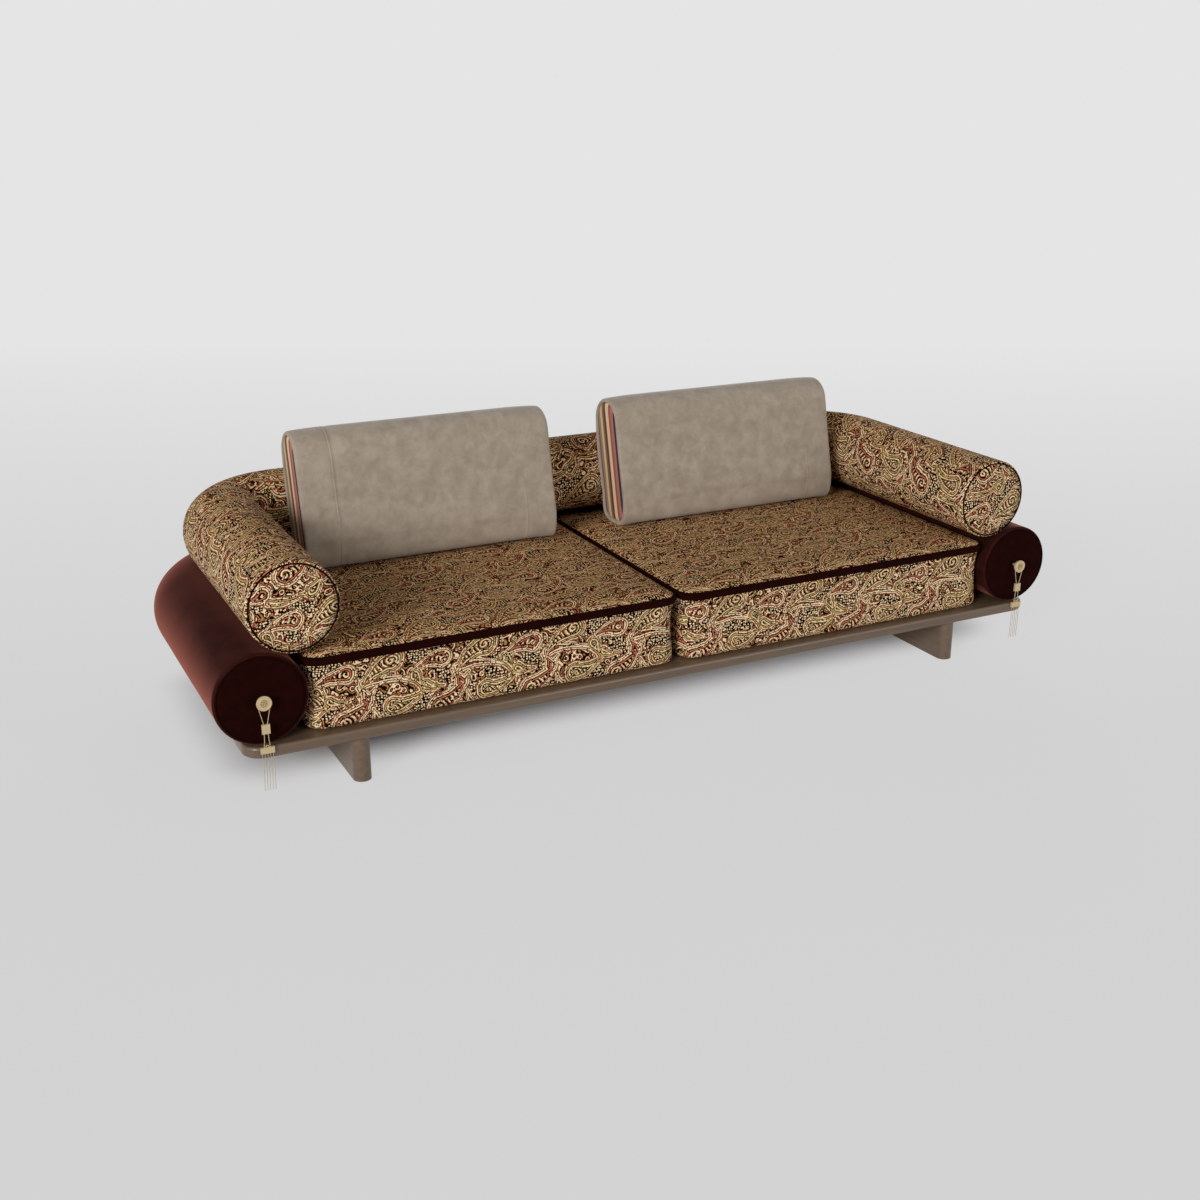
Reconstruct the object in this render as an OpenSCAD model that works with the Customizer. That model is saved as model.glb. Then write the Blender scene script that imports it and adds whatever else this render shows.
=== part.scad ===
// Low platform sofa. A lacquered board on two panel legs carries two stacked U-shaped rolls: a
// velvet one that lies on the board and a patterned one that rests on it, set in towards the seats.
// Two seat cushions lie inside the rolls, two folded back cushions stand on them and lean on the
// upper roll, and a tassel hangs from a button on each front end of the lower roll.
// Millimetres, +Z up. The origin is on the floor under the middle of the sofa, which faces -Y.
// Left and right are as seen from the front, so left is -X.

/* [Board] */
// Thickness of the board
board_t = 32; // [28:1:44]
// How far the board's front edge stands ahead of the seat cushions
board_front = 23.5; // [10:0.5:30]
// How far its ends and back stand in from the lower roll's outer line
board_inset = 69; // [40:1:90]
// Radius of its front corners, seen from above
board_corner = 55; // [30:1:90]
// Radius of its rounded edges
board_edge = 8; // [4:1:12]

/* [Legs] */
// Height of the leg panels
leg_h = 124; // [90:1:160]
// Thickness of the leg panels
leg_t = 50; // [44:1:70]
// Distance of each leg from the middle of the sofa
leg_x = 974; // [700:1:1120]
// How far the legs stand back from the board's front edge
leg_front = 6; // [2:1:60]
// How far the legs stand in from the board's back edge
leg_back = 90; // [60:1:160]
// Thickness of the glides under the legs
glide_t = 3; // [2:0.5:6]

/* [Seat cushions] */
// Width of one seat cushion
seat_w = 1112; // [900:1:1350]
// Depth of one seat cushion
seat_d = 910; // [750:1:1100]
// Height of the seat cushions at their edges
seat_h = 213; // [175:1:230]
// How far the middle of the top swells above its edges
seat_crown = 8; // [2:1:11]
// How far the sides draw in at mid-height
seat_tuck = 11; // [6:1:16]
// Radius of the front corners, seen from above
seat_corner = 54; // [30:1:80]
// Gap between the two seat cushions
seat_gap = 4; // [1:0.5:12]
// Height of the velvet band round the top
band_h = 25; // [16:1:34]
// Thickness of the velvet band
band_t = 2.5; // [1.5:0.5:4]

/* [Rolls] */
// Radius of the lower, velvet roll
lower_r = 124; // [110:1:150]
// Radius of the upper, patterned roll
upper_r = 124; // [100:1:150]
// Air between the seat cushions' top edge and the upper roll
seat_air = 13; // [12:1:20]
// Bend radius of the upper roll's centre line at the back corners
bend_r = 209; // [170:1:260]
// How far the lower roll's ends stand ahead of the seat cushions
lower_front = 4.5; // [0:0.5:8]
// How far the upper roll's ends stand back from the seat cushions' front
upper_back = 10; // [0:1:40]
// Thickness of the padded covers of the rolls
cover_t = 4; // [3:0.5:6]
// Radius of the rounded shoulders at the ends
shoulder = 8; // [7:0.5:12]
// Diameter of the piping on the end seams
piping_d = 4.5; // [3:0.5:6]

/* [Back cushions] */
// Height of one back cushion along its lean
pad_h = 419; // [340:1:520]
// Thickness of one back cushion
pad_t = 162; // [130:1:200]
// Thickness of the suede wrap
wrap_t = 22; // [16:1:28]
// How far the wrap's faces swell
pad_crown = 4; // [1:1:8]
// Lean to the back, in degrees
pad_lean = 12.5; // [5:0.5:20]
// Space between the upper roll's left arm and the left back cushion
pad_left_outer = 78.3; // [50:0.1:160]
// Space between the sofa's middle and the left back cushion
pad_left_inner = 110; // [0:1:200]
// Space between the upper roll's right arm and the right back cushion
pad_right_outer = 60.3; // [50:0.1:160]
// Space between the sofa's middle and the right back cushion
pad_right_inner = 128; // [0:1:200]

/* [Tassels] */
// Diameter of the button
button_d = 40; // [30:1:60]
// Thickness of the looped cord
cord_d = 2.2; // [1.6:0.1:3]
// Distance from the button's middle to the top of the bar
loop_drop = 121; // [100:1:150]
// Distance from the button's middle to the middle of the bead
bead_drop = 71; // [55:1:90]
// Width of the bead
bead_w = 21; // [16:1:26]
// Height of the bead
bead_h = 26; // [18:1:32]
// Width of the bar
bar_w = 36; // [28:1:46]
// Height of the bar
bar_h = 17; // [10:1:24]
// Depth of the bead and the bar, front to back
bar_d = 7; // [5:0.5:9]
// Number of threads under the bar
thread_n = 5; // [3:1:7]
// Diameter of a thread
thread_d = 1.5; // [1.2:0.1:2]

/* [Hidden] */
round_fn = 64;

// Clearances: between rolls and cushions, in fabric pockets, round steel, and of the hanging bars
soft_fit = 0.4;
pocket_fit = 0.6;
steel_fit = 0.5;
tassel_fit = 1;

// Seat shape: radius and inset of the rounded bottom edge, extra draw of the sides between their
// corners, cavity wall round the foam, radius of the corner beside the other seat, and where the
// crown starts inside the top edge
seat_round = 30;
foot_inset = 3;
side_dip = 4;
side_slope = 0.06;
seat_wall = 26;
seat_inner_corner = 40;
seam_inset = 16;
seam_lift = 1;
top_inset = 5;

// Rounded up to a tenth of a millimetre, so that straight runs and bends meet exactly
function tenth_up(v) = ceil(10 * v - 0.001) / 10;

// Heights and places, first above the board's top and behind the seats' front plane
upper_z = seat_h + seat_air + upper_r;
rest_gap = lower_r + upper_r + soft_fit;
upper_inset = tenth_up(sqrt(pow(rest_gap, 2) - pow(upper_z - lower_r, 2)));
roll_tilt = atan(upper_inset / (upper_z - lower_r));
seat_x0 = seat_gap / 2;
seat_x1 = seat_x0 + seat_w;
band_z1 = seat_h - 3;
band_z0 = band_z1 - band_h;
// The lower roll clears the drawn-in side of a seat cushion, and its band higher up
roll_off = tenth_up(max(lower_r + soft_fit - seat_tuck,
    sqrt(pow(lower_r + soft_fit, 2) - pow(band_z0 - lower_r, 2))));
lower_x = seat_x1 + roll_off;
lower_y = seat_d + roll_off;
lower_bend = bend_r + upper_inset;
upper_x = lower_x - upper_inset;
upper_y = lower_y - upper_inset;
lower_end = -lower_front;
upper_end = upper_back;
seat_back_corner = lower_bend - lower_r + seat_tuck + 2;

board_x = lower_x + lower_r - board_inset;
board_y1 = lower_y + lower_r - board_inset;
board_back_corner = lower_bend + lower_r - board_inset;

// Steel parts
tube_r = 16;
tube_wall = 2.5;
post_r = 12.5;
strut_r = 11;
flange_r = 25;
flange_t = 4;
stub_l = 100;
screw_r = 2.5;
screw_head_r = 4.5;
screw_head_t = 2.5;
screw_l = 20;
screw_off = 18;
head_fit = 1;
hole_cover = 4;
rail_w = 40;
rail_h = 18;
rail_wall = 2;
rail_margin = 90;
rail_from_edge = 250;
bolt_r = 4;
bolt_fit = 0.3;
bolt_head_r = 6.5;
bolt_head_t = 8;
bolt_grip = 30;
bolt_in = 20;
insert_r = 7;
insert_h = 22;
bolt_margin = 120;
glide_r = 18;
board_disc_t = 12;

// Places of the posts: shares of the straight arms, and shares of the straight back run
arm_shares = [0.22, 0.85];
back_shares = [-0.62, 0, 0.62];
arm_run = lower_y - lower_bend - lower_end;
back_run = lower_x - lower_bend;
post_places = [
    for (s = [-1, 1]) for (u = arm_shares) [s * lower_x, lower_end + u * arm_run, -s, 0],
    for (u = back_shares) [u * back_run, lower_y, 0, -1]
];

// Tassels: the cord hangs just ahead of the board's front edge
tassel_y = -(board_front + tassel_fit + bar_d / 2);
neck_r = button_d / 2 - 4;
neck_w = cord_d + 1;
button_back_t = 2.5;
button_disc_t = 2.5;
button_boss = [4, 1.5];
button_stem_r = 5;
emboss_r = 1.5;
loop_fit = 0.2;
loop_r = neck_r + cord_d / 2 + loop_fit;
bead_gap = 5;
bar_gap = 7.5;
cord_hole_r = cord_d / 2 + 0.3;
neck_back = tassel_y + neck_w / 2;
button_front = tassel_y - neck_w / 2 - button_disc_t - button_boss[1];
arch = [5.5, 3.4, 2.2];
thread_margin = 4;

// One thread's route down from the bar: sideways and downwards, chosen by hand
thread_route = [
    [0, 0], [0, -7], [0.3, -14], [0.6, -21], [0.9, -29], [1.1, -37], [1.2, -45], [1.2, -53],
    [1.0, -61], [0.7, -69], [0.4, -77], [0.1, -85], [-0.2, -93], [-0.4, -99], [-0.5, -104]
];
cord_sides = 8;

// The whole sofa is shifted so that its box is centred on the origin
deck_z = glide_t + leg_h + board_t;
shift_y = -(lower_y + lower_r + button_front) / 2;
pad_r = pad_t / 2;

// A back cushion is as long as its spaces leave it.
pad_left_w = upper_x - upper_r - pad_left_outer - pad_left_inner;
pad_right_w = upper_x - upper_r - pad_right_outer - pad_right_inner;
pad_left_x = -pad_left_inner - pad_left_w / 2;
pad_right_x = pad_right_inner + pad_right_w / 2;

// Back cushion's lower centre, from its seat and from the upper roll that it leans on
pad_reach = norm([(pad_r + pad_crown) * sin(pad_lean), pad_r * cos(pad_lean)]);
pad_z = seat_h + seat_crown + pad_reach + soft_fit;
pad_y = upper_y - (pad_r + pad_crown + upper_r + soft_fit + (upper_z - pad_z) * sin(pad_lean))
    / cos(pad_lean);

module placed() {
    translate([0, shift_y, deck_z]) children();
}

// Sweeps and lofts

// Joins rings of equally many points, the first one lowest, into a closed solid of triangles.
module loft(rings) {
    n = len(rings[0]);
    m = len(rings);
    base = sum_points(rings[0], n) / n;
    top = sum_points(rings[m - 1], n) / n;
    points = [for (ring = rings) each ring, base, top];
    sides = [
        for (k = [0:m - 2]) for (i = [0:n - 1]) let (j = (i + 1) % n)
            each [[k * n + i, (k + 1) * n + j, k * n + j],
                  [k * n + i, (k + 1) * n + i, (k + 1) * n + j]]
    ];
    caps = [
        for (i = [0:n - 1]) let (j = (i + 1) % n)
            each [[i, j, n * m], [(m - 1) * n + j, (m - 1) * n + i, n * m + 1]]
    ];
    polyhedron(points = points, faces = concat(sides, caps), convexity = 4);
}

function sum_points(p, n, i = 0) = i == n - 1 ? p[i] : p[i] + sum_points(p, n, i + 1);

function unit(v) = v / norm(v);

// A tube of round section along a route in a plane y = constant; each point is [x, z].
module flat_cord(route, y, d, sides) {
    n = len(route);
    rings = [
        for (k = [0:n - 1])
            let (t = unit(route[min(k + 1, n - 1)] - route[max(k - 1, 0)]))
            [for (i = [0:sides - 1]) let (a = 360 * i / sides)
                [route[k][0] - t[1] * cos(a) * d / 2, y - sin(a) * d / 2,
                 route[k][1] + t[0] * cos(a) * d / 2]]
    ];
    loft(rings);
}

// A rounded rectangle drawn in by inset, its sides drawn in further by dip between the corners.
// radii are those of the corners front-left, front-right, back-right and back-left.
function outline(x0, x1, y0, y1, radii, inset, dip, turn = 6, run = 5) =
    let (c = [for (r = radii) max(r - inset, 2)],
         mid = [[x0 + inset + c[0], y0 + inset + c[0]], [x1 - inset - c[1], y0 + inset + c[1]],
                [x1 - inset - c[2], y1 - inset - c[2]], [x0 + inset + c[3], y1 - inset - c[3]]])
    [for (k = [0:3]) let (a0 = 180 + 90 * k, q = (k + 1) % 4)
        each concat(
            [for (i = [0:turn]) mid[k] + c[k] * [cos(a0 + 90 * i / turn), sin(a0 + 90 * i / turn)]],
            [for (i = [1:run - 1]) let (u = i / run,
                    a = mid[k] + c[k] * [cos(a0 + 90), sin(a0 + 90)],
                    b = mid[q] + c[q] * [cos(a0 + 90), sin(a0 + 90)])
                a + (b - a) * u - dip * sin(180 * u) * [cos(a0 + 90), sin(a0 + 90)]])];

function lift(ring, z) = [for (p = ring) [p[0], p[1], z]];

// A round-edged disc, as one corner of the board
module edge_disc(r) {
    rotate_extrude($fn = round_fn) {
        square([r - board_edge, board_t]);
        translate([0, board_edge]) square([r, board_t - 2 * board_edge]);
        for (z = [board_edge, board_t - board_edge])
            translate([r - board_edge, z]) circle(board_edge, $fn = 24);
    }
}

// Repeats its child along a U: two straight arms from y = front, two bends and the back run.
module u_run(x, y, bend, front) {
    for (s = [0, 1]) mirror([s, 0, 0]) {
        translate([x, front, 0]) rotate([-90, 0, 0]) linear_extrude(y - bend - front) children();
        translate([x - bend, y - bend, 0]) rotate_extrude(angle = 90, $fn = round_fn)
            translate([bend, 0]) children();
    }
    translate([bend - x, y, 0]) rotate([0, 90, 0]) linear_extrude(2 * (x - bend)) children();
}

module ring_section(outer, inner) {
    difference() {
        circle(outer, $fn = round_fn);
        circle(inner, $fn = round_fn);
    }
}

module rod(r, h) {
    cylinder(r = r, h = h, $fn = 32);
}

// Puts its child at each post, turned so that +X there points in towards the seats.
module at_posts() {
    for (p = post_places) translate([p[0], p[1], 0]) rotate([0, 0, atan2(p[3], p[2])]) children();
}

// The slanted line from the lower roll's centre to the upper roll's, at one post
module along_strut() {
    translate([0, 0, lower_r]) rotate([0, roll_tilt, 0]) children();
}

// Puts its child at both front ends of a roll, its +Z pointing to the back.
module at_ends(x, z, y) {
    for (s = [-1, 1]) translate([s * x, y, z]) rotate([-90, 0, 0]) children();
}

// Board, legs and their fasteners

leg_y0 = leg_front - board_front;
leg_y1 = board_y1 - leg_back;
bolt_ys = [leg_y0 + bolt_margin, (leg_y0 + leg_y1) / 2, leg_y1 - bolt_margin];
rail_ys = [rail_from_edge - board_front, board_y1 - rail_from_edge];
rail_half = board_x - rail_margin;
rail_screw_xs = [-0.9, -0.45, 0, 0.45, 0.9] * rail_half;

module platform() {
    color([0.42, 0.34, 0.28]) placed() translate([0, 0, -board_t]) difference() {
        hull() for (s = [-1, 1]) {
            translate([s * (board_x - board_corner), board_corner - board_front, 0])
                edge_disc(board_corner);
            translate([s * (board_x - board_back_corner), board_y1 - board_back_corner, 0])
                edge_disc(board_back_corner);
        }
        for (y = rail_ys) translate([-rail_half - steel_fit, y - rail_w / 2 - steel_fit, -1])
            cube([2 * (rail_half + steel_fit), rail_w + 2 * steel_fit, rail_h + 1]);
        for (y = rail_ys, x = rail_screw_xs) translate([x, y, 0])
            rod(screw_r, board_t - hole_cover);
        for (s = [-1, 1], y = bolt_ys) translate([s * leg_x, y, -1]) rod(insert_r, insert_h + 1);
        at_posts() for (t = [-1, 1]) translate([0, t * screw_off, board_t - screw_l])
            rod(screw_r, screw_l + 1);
    }
}

module rails() {
    color([0.2, 0.2, 0.21]) placed() for (y = rail_ys)
        translate([0, y, rail_h / 2 - board_t]) difference() {
            cube([2 * rail_half, rail_w, rail_h], center = true);
            cube([2 * rail_half + 2, rail_w - 2 * rail_wall, rail_h - 2 * rail_wall], center = true);
            for (x = rail_screw_xs) translate([x, 0, 0]) rod(screw_r, rail_h);
            for (x = rail_screw_xs) translate([x, 0, -rail_h])
                rod(screw_head_r + head_fit, rail_h);
        }
}

module rail_screws() {
    color([0.7, 0.7, 0.72]) placed() for (y = rail_ys, x = rail_screw_xs)
        translate([x, y, rail_h - rail_wall - board_t]) {
            rod(screw_r, board_t - hole_cover - rail_h + rail_wall);
            translate([0, 0, -screw_head_t]) rod(screw_head_r, screw_head_t);
        }
}

module leg_panel(side) {
    color([0.44, 0.36, 0.30]) placed() translate([side * leg_x, 0, -board_t - leg_h]) difference() {
        union() {
            for (y = [leg_y0 + leg_t / 2, leg_y1 - leg_t / 2]) translate([0, y, 0])
                cylinder(d = leg_t, h = leg_h, $fn = round_fn);
            translate([-leg_t / 2, leg_y0 + leg_t / 2, 0])
                cube([leg_t, leg_y1 - leg_y0 - leg_t, leg_h]);
        }
        for (y = bolt_ys) translate([0, y, -1]) {
            rod(bolt_head_r + head_fit, leg_h - bolt_grip + 1);
            rod(bolt_r + bolt_fit, leg_h + 2);
        }
    }
}

module leg_left() { leg_panel(-1); }
module leg_right() { leg_panel(1); }

module leg_bolts() {
    color([0.68, 0.68, 0.7]) placed() for (s = [-1, 1], y = bolt_ys)
        translate([s * leg_x, y, -board_t - bolt_grip]) {
            rod(bolt_r, bolt_grip + bolt_in);
            translate([0, 0, -bolt_head_t]) rod(bolt_head_r, bolt_head_t);
        }
}

module leg_inserts() {
    color([0.72, 0.6, 0.35]) placed() for (s = [-1, 1], y = bolt_ys)
        translate([s * leg_x, y, -board_t]) difference() {
            rod(insert_r, insert_h);
            translate([0, 0, -1]) rod(bolt_r, bolt_in + 1);
        }
}

module glides() {
    color([0.12, 0.11, 0.1]) placed()
        for (s = [-1, 1], y = [leg_y0 + leg_t / 2, leg_y1 - leg_t / 2])
            translate([s * leg_x, y, -deck_z]) rod(glide_r, glide_t);
}

// Steel frame inside the rolls

module posts() {
    color([0.25, 0.25, 0.27]) placed() at_posts() difference() {
        union() {
            rod(flange_r, flange_t);
            rod(post_r, lower_r);
        }
        for (t = [-1, 1]) translate([0, t * screw_off, -1]) rod(screw_r, flange_t + 2);
        frame_stub(lower_r);
    }
}

// A straight piece of the frame's tube at one post, as a solid rod, to cut what is welded to it
module frame_stub(z) {
    translate([0, stub_l / 2, z]) rotate([90, 0, 0])
        cylinder(r = tube_r, h = stub_l, $fn = round_fn);
}

module post_screws() {
    color([0.7, 0.7, 0.72]) placed() at_posts() for (t = [-1, 1])
        translate([0, t * screw_off, 0]) {
            translate([0, 0, flange_t - screw_l]) rod(screw_r, screw_l);
            translate([0, 0, flange_t]) rod(screw_head_r, screw_head_t);
        }
}

module frame_tube(x, y, bend, front, z) {
    color([0.25, 0.25, 0.27]) placed() translate([0, 0, z])
        u_run(x, y, bend, front + cover_t + board_disc_t) ring_section(tube_r, tube_r - tube_wall);
}

module lower_frame() { frame_tube(lower_x, lower_y, lower_bend, lower_end, lower_r); }
module upper_frame() { frame_tube(upper_x, upper_y, bend_r, upper_end, upper_z); }

module struts() {
    color([0.25, 0.25, 0.27]) placed() at_posts() difference() {
        along_strut() rod(strut_r, rest_gap);
        frame_stub(lower_r);
        translate([upper_inset, 0, 0]) frame_stub(upper_z);
    }
}

// Rolls: foam round the frame, a padded cover, and a board, a panel and piping at each end

module roll_foam(x, y, bend, front, r, z) {
    difference() {
        translate([0, 0, z]) u_run(x, y, bend, front + cover_t + board_disc_t)
            ring_section(r - cover_t, tube_r);
        strut_space();
    }
}

// Room round the posts, their flanges and the struts
module strut_space() {
    at_posts() {
        translate([0, 0, -1]) rod(post_r + steel_fit, lower_r + 1);
        translate([0, 0, -1]) rod(flange_r + steel_fit, flange_t + screw_head_t + steel_fit + 1);
        along_strut() rod(strut_r + steel_fit, rest_gap);
    }
}

module lower_foam() {
    color([0.93, 0.87, 0.66]) placed()
        roll_foam(lower_x, lower_y, lower_bend, lower_end, lower_r, lower_r);
}

module upper_foam() {
    color([0.93, 0.87, 0.66]) placed()
        roll_foam(upper_x, upper_y, bend_r, upper_end, upper_r, upper_z);
}

// Half section of the rounded shoulder, from the cover's wall to the seam in the end face
module shoulder_section(r) {
    intersection() {
        translate([r - shoulder, shoulder]) ring_section(shoulder, shoulder - cover_t);
        translate([r - shoulder, 0]) square(shoulder);
    }
}

module roll_cover(x, y, bend, front, r, z) {
    difference() {
        union() {
            translate([0, 0, z]) u_run(x, y, bend, front + shoulder) ring_section(r, r - cover_t);
            at_ends(x, z, front) rotate_extrude($fn = round_fn) difference() {
                shoulder_section(r);
                translate([r - shoulder, 0]) piping_section();
            }
        }
        strut_space();
    }
}

module lower_cover() {
    color([0.27, 0.10, 0.09]) placed()
        roll_cover(lower_x, lower_y, lower_bend, lower_end, lower_r, lower_r);
}

module upper_cover() {
    color([0.55, 0.45, 0.30]) placed()
        roll_cover(upper_x, upper_y, bend_r, upper_end, upper_r, upper_z);
}

module end_board(r) {
    cylinder(r = r - shoulder, h = shoulder - cover_t, $fn = round_fn);
    translate([0, 0, shoulder - cover_t])
        cylinder(r = r - cover_t, h = board_disc_t + cover_t - shoulder, $fn = round_fn);
}

module lower_end_boards() {
    color([0.78, 0.66, 0.48]) placed() at_ends(lower_x, lower_r, lower_end + cover_t)
        difference() {
            end_board(lower_r);
            translate([0, 0, -1]) rod(button_stem_r, board_disc_t + 2);
        }
}

module upper_end_boards() {
    color([0.78, 0.66, 0.48]) placed() at_ends(upper_x, upper_z, upper_end + cover_t)
        end_board(upper_r);
}

module end_panel(r, bore) {
    rotate_extrude($fn = round_fn) difference() {
        translate([bore, 0]) square([r - shoulder - bore, cover_t]);
        translate([r - shoulder, 0]) piping_section();
    }
}

module lower_end_panels() {
    color([0.20, 0.07, 0.06]) placed() at_ends(lower_x, lower_r, lower_end)
        end_panel(lower_r, button_stem_r);
}

module upper_end_panels() {
    color([0.58, 0.48, 0.32]) placed() at_ends(upper_x, upper_z, upper_end)
        end_panel(upper_r, 0);
}

module piping_section() {
    circle(piping_d / 2, $fn = 24);
}

module piping(r) {
    rotate_extrude($fn = round_fn) translate([r - shoulder, 0]) piping_section();
}

module lower_piping() {
    color([0.15, 0.05, 0.05]) placed() at_ends(lower_x, lower_r, lower_end) piping(lower_r);
}

module upper_piping() {
    color([0.16, 0.07, 0.06]) placed() at_ends(upper_x, upper_z, upper_end) piping(upper_r);
}

// Seat cushions, drawn as the right one

seat_radii = [seat_corner, seat_corner, seat_back_corner, seat_inner_corner];
side_z = (lower_r + band_z0) / 2;

function seat_ring(z, inset, dip) =
    lift(outline(seat_x0, seat_x1, 0, seat_d, seat_radii, inset, dip), z);

// The crown's rings shrink towards the middle of the top.
function crown_ring(s) =
    let (c = [(seat_x0 + seat_x1) / 2, seat_d / 2],
         edge = outline(seat_x0, seat_x1, 0, seat_d, seat_radii, seam_inset, 0))
    [for (p = edge) [c[0] + s * (p[0] - c[0]), c[1] + s * (p[1] - c[1]),
        seat_h + seam_lift + (seat_crown - seam_lift) * (1 - pow(s, 6))]];

seat_rings = concat(
    [for (a = [0, 30, 60, 90]) seat_ring(seat_round * (1 - cos(a)),
        foot_inset + seat_round * (1 - sin(a)), 0)],
    [seat_ring((seat_round + lower_r) / 2, 0.8 * seat_tuck, 0.75 * side_dip),
     seat_ring(lower_r, seat_tuck, side_dip),
     seat_ring(side_z, seat_tuck - side_slope * (side_z - lower_r), 0.75 * side_dip),
     seat_ring(band_z0, band_t, 0),
     seat_ring(band_z1, band_t, 0),
     seat_ring(seat_h - seam_lift, top_inset, 0)],
    [for (s = [1, 0.93, 0.8, 0.6, 0.35, 0.1]) crown_ring(s)]
);

zip_l = 620;
zip_h = 14;
zip_t = 2.5;
zip_depth = 8;
zip_pull = [16, 2, 6];
zip_x = (seat_x0 + seat_x1) / 2 - zip_l / 2;
zip_y = seat_d - seat_tuck - zip_depth;

// The box inside the cover that the foam fills, with the roll's corner cut off
module seat_core(grow) {
    w = seat_wall - grow;
    cut = 2 * (seat_back_corner * (sqrt(2) - 1) + w);
    difference() {
        translate([seat_x0 + w, w, w]) cube([seat_w - 2 * w, seat_d - 2 * w, seat_h - 2 * w]);
        translate([seat_x1, seat_d, seat_h / 2]) rotate([0, 0, 45])
            cube([cut, 3 * seat_back_corner, 2 * seat_h], center = true);
    }
}

module seat_cover() {
    color([0.50, 0.41, 0.27]) placed() difference() {
        loft(seat_rings);
        seat_core(pocket_fit);
        translate([zip_x, zip_y, lower_r - zip_h / 2]) cube([zip_l, 50, zip_h]);
    }
}

module seat_foam() {
    color([0.94, 0.90, 0.74]) placed() seat_core(0);
}

module band_plan(inset) {
    polygon(outline(seat_x0, seat_x1, 0, seat_d, seat_radii, inset, 0));
}

module seat_band() {
    color([0.16, 0.05, 0.05]) placed() translate([0, 0, band_z0]) linear_extrude(band_h)
        difference() {
            band_plan(0);
            band_plan(band_t);
        }
}

module seat_zip() {
    color([0.10, 0.08, 0.07]) placed() translate([zip_x, zip_y, lower_r - zip_h / 2]) {
        cube([zip_l, zip_t, zip_h]);
        translate([zip_h / 2, zip_t, (zip_h - zip_pull[2]) / 2]) cube(zip_pull);
    }
}

module seat_cover_right() { seat_cover(); }
module seat_cover_left() { mirror([1, 0, 0]) seat_cover(); }
module seat_foam_right() { seat_foam(); }
module seat_foam_left() { mirror([1, 0, 0]) seat_foam(); }
module seat_band_right() { seat_band(); }
module seat_band_left() { mirror([1, 0, 0]) seat_band(); }
module seat_zip_right() { seat_zip(); }
module seat_zip_left() { mirror([1, 0, 0]) seat_zip(); }

// Back cushions: a suede mat folded round a striped inner cushion, standing on its fold

pad_core_r = pad_r - wrap_t;
pad_straight = pad_h - pad_t;
pad_end_round = 9;
core_recess = 3;
core_wall = 3;

module pad_frame(x) {
    placed() translate([x, pad_y, pad_z]) rotate([-pad_lean, 0, 0]) children();
}

// A slot-shaped ring at one station along the cushion: thickness along Y, height along Z
function pad_ring(x, inset, swell, turn = 12, run = 6) =
    let (r = pad_r + swell - inset)
    [for (i = [0:turn]) let (a = 180 * i / turn)
        [x, r * cos(a), pad_straight + (pad_r - inset) * sin(a)],
     for (i = [1:run - 1]) [x, -r, pad_straight * (1 - i / run)],
     for (i = [0:turn]) let (a = 180 + 180 * i / turn) [x, r * cos(a), (pad_r - inset) * sin(a)],
     for (i = [1:run - 1]) [x, r, pad_straight * i / run]];

function pad_stations(w) = concat(
    [for (a = [0, 30, 60, 90]) [w / 2 - pad_end_round * (1 - cos(a)),
        pad_end_round * (1 - sin(a)), 0]],
    [for (u = [0.85, 0.6, 0.3]) [u * w / 2, 0, pad_crown * (1 - pow(u, 3))]]
);

function pad_rings(stations) = concat(
    [for (s = stations) pad_ring(-s[0], s[1], s[2])],
    [for (k = [len(stations) - 1:-1:0]) let (s = stations[k]) pad_ring(s[0], s[1], s[2])]
);

module slot_section(r) {
    for (z = [0, pad_straight]) translate([0, z]) circle(r, $fn = round_fn);
    translate([-r, 0]) square([2 * r, pad_straight]);
}

// Extrudes a slot section along X, centred, for a cushion of the given length.
module slot_bar(r, l) {
    translate([-l / 2, 0, 0]) rotate([90, 0, 90]) linear_extrude(l) slot_section(r);
}

module pad_wrap(x, w) {
    color([0.62, 0.58, 0.52]) pad_frame(x) difference() {
        loft(pad_rings(pad_stations(w)));
        slot_bar(pad_core_r + pocket_fit, w + 2);
    }
}

module pad_core(x, w) {
    color([0.72, 0.55, 0.42]) pad_frame(x) difference() {
        slot_bar(pad_core_r, w - 2 * core_recess);
        core_space(w);
    }
}

// The filling's form, inside the core's cloth
module core_space(w) {
    slot_bar(pad_core_r - core_wall, w - 2 * core_recess - 2 * core_wall);
}

module pad_insert(x, w) {
    color([0.94, 0.92, 0.86]) pad_frame(x) core_space(w);
}

module pad_wrap_left() { pad_wrap(pad_left_x, pad_left_w); }
module pad_wrap_right() { pad_wrap(pad_right_x, pad_right_w); }
module pad_core_left() { pad_core(pad_left_x, pad_left_w); }
module pad_core_right() { pad_core(pad_right_x, pad_right_w); }
module pad_insert_left() { pad_insert(pad_left_x, pad_left_w); }
module pad_insert_right() { pad_insert(pad_right_x, pad_right_w); }

// Buttons and tassels, drawn round the button's middle with -Y to the front

module at_button(s) {
    placed() translate([s * lower_x, 0, lower_r]) children();
}

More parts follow.
